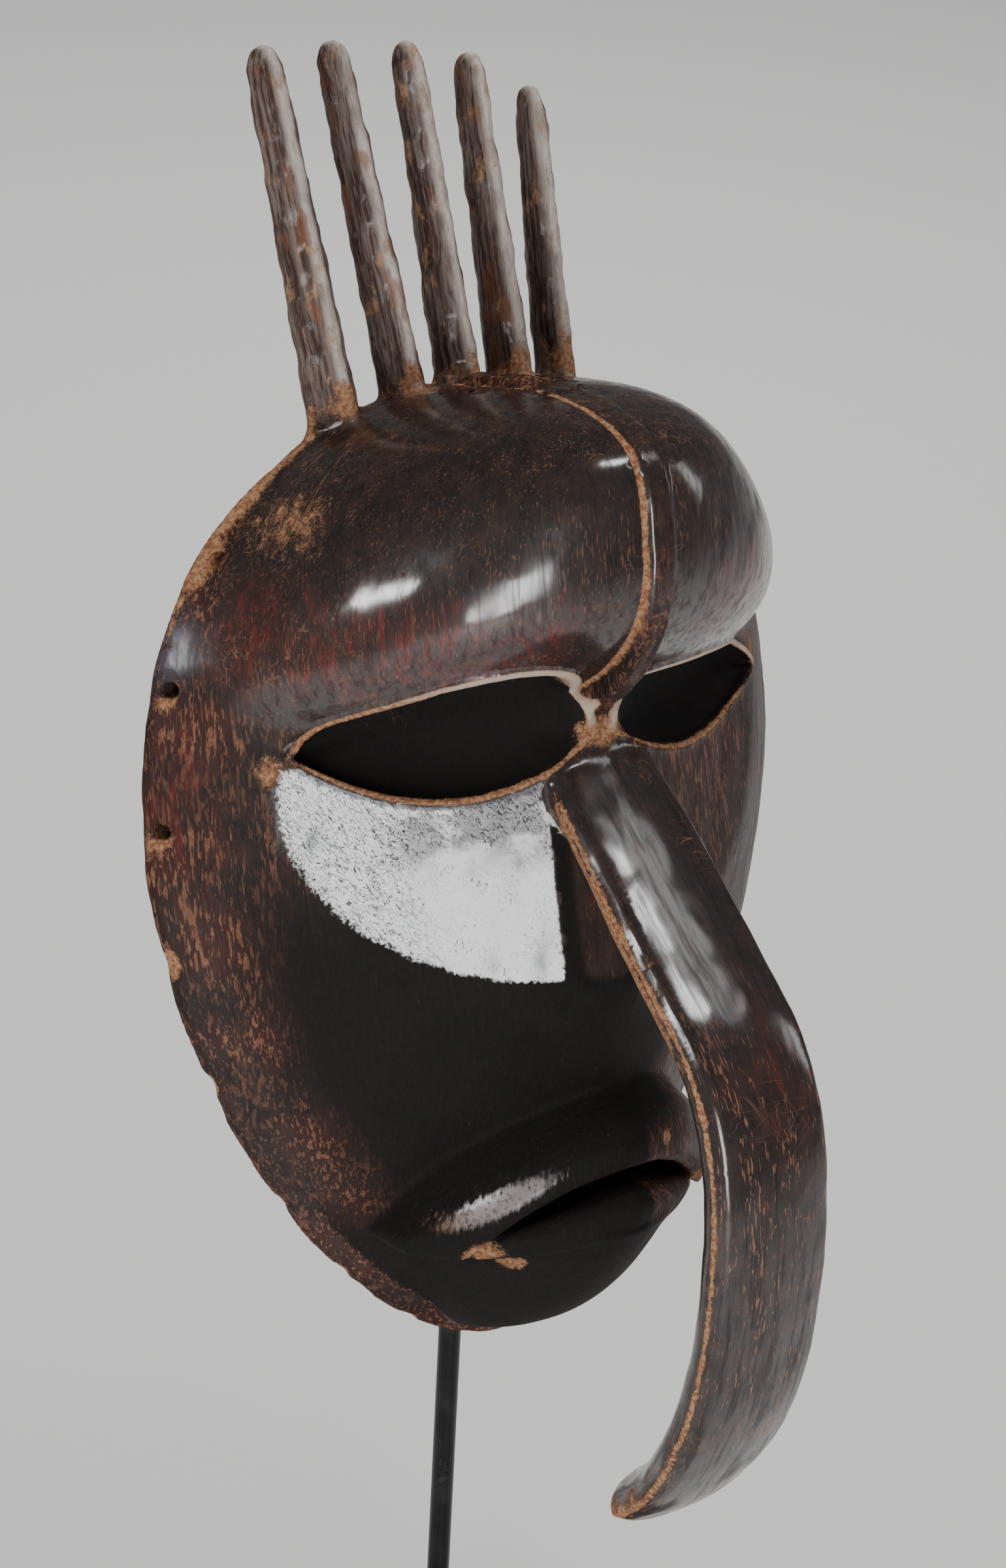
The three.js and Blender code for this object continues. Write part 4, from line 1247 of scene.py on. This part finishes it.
# %% [markdown]
# Oil and hands leave a thin, glossy skin on dull wood. It could be one shader whose
# roughness changes, but then the painted shade and the dust would still mirror the room. Here the
# base stays dull and weakly reflecting, and the polish is a clear coat over it. Its
# weight is high on forehead, trunk and film and worn thin along the grain, low on the
# side wall and the tines, and next to nothing under dust and painted shade and in the hollow.
# The film's grey is partly a painted reflection: seen from the camera, much of its paleness
# is a panel of light mirrored in that coat.

# %% The carved wood: polish, roughness and bump
WOOD_IOR, COAT_IOR, COAT_ROUGHNESS = 1.35, 1.7, 0.17
RELIEF_DEPTH, RELIEF_STRENGTH = 0.0005, 0.6

dull = n.plus(
    n.times(masks["on_wall"], 0.8), n.times(masks["on_tines"], 0.85), masks["raw"], masks["painted_shade"],
    n.times(crease, 0.5), dusty, n.times(fleck_all, 0.5), n.times(scratched, 0.6),
)
worn_thin = n.rise(n.noise(n.place(along, (1, 1, 0.08)), 0.55, 4.0, 0.7), 0.34, 0.56, 0.4, 1.0)
polish = n.times(n.rest(n.math("MINIMUM", dull, 1.0)), worn_thin)
film_and_glare_dull = n.plus(n.times(wrinkle_lines, 0.95), n.times(glare_falloff, 0.85), n.times(pores, 0.7))
film_and_glare_polish = n.times(film_and_glare_here, n.rest(n.math("MINIMUM", film_and_glare_dull, 1.0)))
polish = n.plus(n.times(polish, n.rest(film_and_glare_here)), n.times(film_and_glare_polish, 0.85))
polish = n.math("MAXIMUM", polish, n.times(bar, 0.9))
n.feed(surface.inputs["Coat Weight"], polish)
rough = n.plus(
    0.5, n.times(masks["on_tines"], 0.15), n.times(small, 0.2), n.times(dusty, 0.2),
    n.times(masks["painted_shade"], 0.2),
)
n.feed(surface.inputs["Roughness"], rough)
relief = n.plus(n.times(fibre, 0.5), n.times(wall_flecks["Height"], masks["on_wall"], -0.9))
relief = n.plus(relief, n.times(scratched, -0.25), n.times(wrinkle_lines, film_and_glare_here, -0.5))
relief = n.plus(relief, n.times(tine_fibre, masks["on_tines"], 1.6), n.times(dusty, 0.25))
bump = n.add("ShaderNodeBump", strength=RELIEF_STRENGTH, distance=RELIEF_DEPTH, height=relief)
n.feed(surface.inputs["Normal"], bump)
surface.inputs["IOR"].default_value = WOOD_IOR
surface.inputs["Coat Roughness"].default_value = COAT_ROUGHNESS
surface.inputs["Coat IOR"].default_value = COAT_IOR
mask_mesh.materials.append(wood)
print(f"wood: {len(n.tree.nodes)} nodes")

# %% [markdown]
# The rod is blackened steel, rubbed a little brighter here and there, and the foot is
# a flat plate painted matt black. Both have a fine grain, thin scratches and a trace
# of dust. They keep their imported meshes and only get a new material, whose patterns
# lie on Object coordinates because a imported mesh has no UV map.

# %% The stand
BLACK, RUBBED, PAINT = (0.008, 0.008, 0.009, 1), (0.06, 0.056, 0.052, 1), (0.012, 0.012, 0.013, 1)


def stand_material(name, base, metal, roughness, dust_amount):
    """Black finish: a broad sheen change, fine scratches and thin dust."""
    material, n, surface = new_material(name)
    spot = n.place(n.add("ShaderNodeTexCoord", out="Object"), (1 / MM,) * 3)
    sheen = n.noise(spot, 0.08, 4.0, 0.6)
    grain = n.noise(spot, 2.2, 2.0)
    lines = use_group(n, "scratches", vector=spot, size=3.0, width=0.01)["Mask"]
    dusty = use_group(n, "dust", vector=spot, amount=dust_amount, size=2.5)["Mask"]
    colour = n.mix(n.times(n.rise(sheen, 0.45, 0.7), 0.3), base, RUBBED)
    colour = n.mix(n.times(lines, 0.5), colour, RUBBED)
    colour = n.mix(n.times(dusty, 0.12), colour, EARTH)
    n.feed(surface.inputs["Base Color"], colour)
    surface.inputs["Metallic"].default_value = metal
    n.feed(surface.inputs["Roughness"], n.plus(n.times(sheen, 0.25), n.times(dusty, 0.2), roughness))
    relief = n.plus(grain, n.times(lines, -0.5))
    bump = n.add("ShaderNodeBump", strength=0.3, distance=0.0002, height=relief)
    n.feed(surface.inputs["Normal"], bump)
    return material


for node, finish in (
    ("stand_rod", stand_material("blackened_steel", BLACK, 0.6, 0.25, 0.12)),
    ("stand_foot", stand_material("black_paint", PAINT, 0.0, 0.42, 0.3)),
):
    piece = bpy.data.objects[node]
    for slot in piece.material_slots:
        slot.material = finish
    print(node, "->", finish.name)

# %% [markdown]
# The floor is a plain pale sheet under the foot.

# %% Floor
FLOOR_HALF, FLOOR_COLOUR = 3, (0.85, 0.84, 0.83, 1)

floor_corners = [(x * FLOOR_HALF, y * FLOOR_HALF, 0) for x, y in ((-1, -1), (1, -1), (1, 1), (-1, 1))]
floor_mesh = raw_mesh("floor", floor_corners, [(0, 1, 2, 3)])
floor = new_object("floor", floor_mesh)
pale = bpy.data.materials.new("pale_floor")
pale.use_nodes = True
pale.node_tree.nodes["Principled BSDF"].inputs["Base Color"].default_value = FLOOR_COLOUR
floor_mesh.materials.append(pale)
print(f"floor: {2 * FLOOR_HALF} m across")

# %% [markdown]
# The camera looks down at the mask's -x side. Its direction is an azimuth, 0 straight
# ahead of the mask, and an elevation, and it is rolled a little, because the rod
# leans in the picture.

# %% Camera
CAMERA_AZIMUTH, CAMERA_ELEVATION, CAMERA_ROLL = -36.04, 26.0, math.radians(2.981)
CAMERA_DISTANCE = 1036
CAMERA_TARGET = Vector((-7.525, RIM_BEHIND_MIDDLE, 162.1 + CHIN_HEIGHT))
SENSOR, LENS = 36, 97.27


def direction(azimuth, elevation):
    """The unit vector towards an azimuth and an elevation, in degrees."""
    azimuth, elevation = math.radians(azimuth), math.radians(elevation)
    level = math.cos(elevation)
    return Vector((math.sin(azimuth) * level, -math.cos(azimuth) * level, math.sin(elevation)))


def facing(away):
    """The turn that makes a camera or a panel look back along a direction."""
    return away.to_track_quat("Z", "Y").to_matrix()


back = direction(CAMERA_AZIMUTH, CAMERA_ELEVATION)
camera_data = bpy.data.cameras.new("camera")
camera_data.sensor_fit = "VERTICAL"
camera_data.sensor_height = SENSOR
camera_data.lens = LENS
camera = new_object("camera", camera_data)
turn = facing(back) @ Matrix.Rotation(CAMERA_ROLL, 3, "Z")
camera.matrix_world = Matrix.Translation((CAMERA_TARGET + CAMERA_DISTANCE * back) * MM) @ turn.to_4x4()
bpy.context.scene.camera = camera
print("camera at", [round(c, 3) for c in camera.matrix_world.translation])

# %% [markdown]
# The light is soft studio light: a dim even surround, two large panels overhead that
# light the floor, and five smaller ones round the front. Each of the five stands
# where a polished place on the mask mirrors it to the camera, so its direction is
# given as azimuth and elevation from that place. The two large ones aren't mirrored.

# %% Light
PANELS = [
    # name, aimed at, direction, distance, size, radiance, mirrored or not
    ("side_panel", (-57, -31, 396), (-86, 16), 900, (240, 150), 26, True),
    ("key_panel", (-40, -40, 340), (-29, -3), 900, (260, 420), 15, True),
    ("top_panel", (-9, -82, 323), (26, 67), 900, (130, 110), 24, True),
    ("soft_top_panel", (-3, -90, 319), (55, 58), 900, (300, 260), 3, True),
    ("edge_panel", (11, -114, 299), (70, 18), 900, (120, 400), 4, True),
    ("roof_panel", (0, 0, 300), (-110, 78), 2200, (1400, 1400), 1.1, False),
    ("back_panel", (550, 750, 0), (150, 80), 1500, (1500, 1500), 3.2, False),
]
SURROUND = 0.13


def panel(name, aim, toward, distance, size, radiance, mirrored):
    """An area light of the given radiance, turned to face the place it is aimed at."""
    away = direction(*toward)
    light = bpy.data.lights.new(name, "AREA")
    light.shape = "RECTANGLE"
    light.size, light.size_y = (side * MM for side in size)
    light.energy = radiance * math.pi * light.size * light.size_y
    lamp = new_object(name, light)
    place = Matrix.Translation((Vector(aim) + distance * away) * MM)
    lamp.matrix_world = place @ facing(away).to_4x4()
    lamp.visible_glossy = mirrored
    print(f"{name}: {light.energy:.2f} W")


for values in PANELS:
    panel(*values)
world = bpy.data.worlds.new("studio")
world.use_nodes = True
world.node_tree.nodes["Background"].inputs["Color"].default_value = (SURROUND,) * 3 + (1,)
bpy.context.scene.world = world
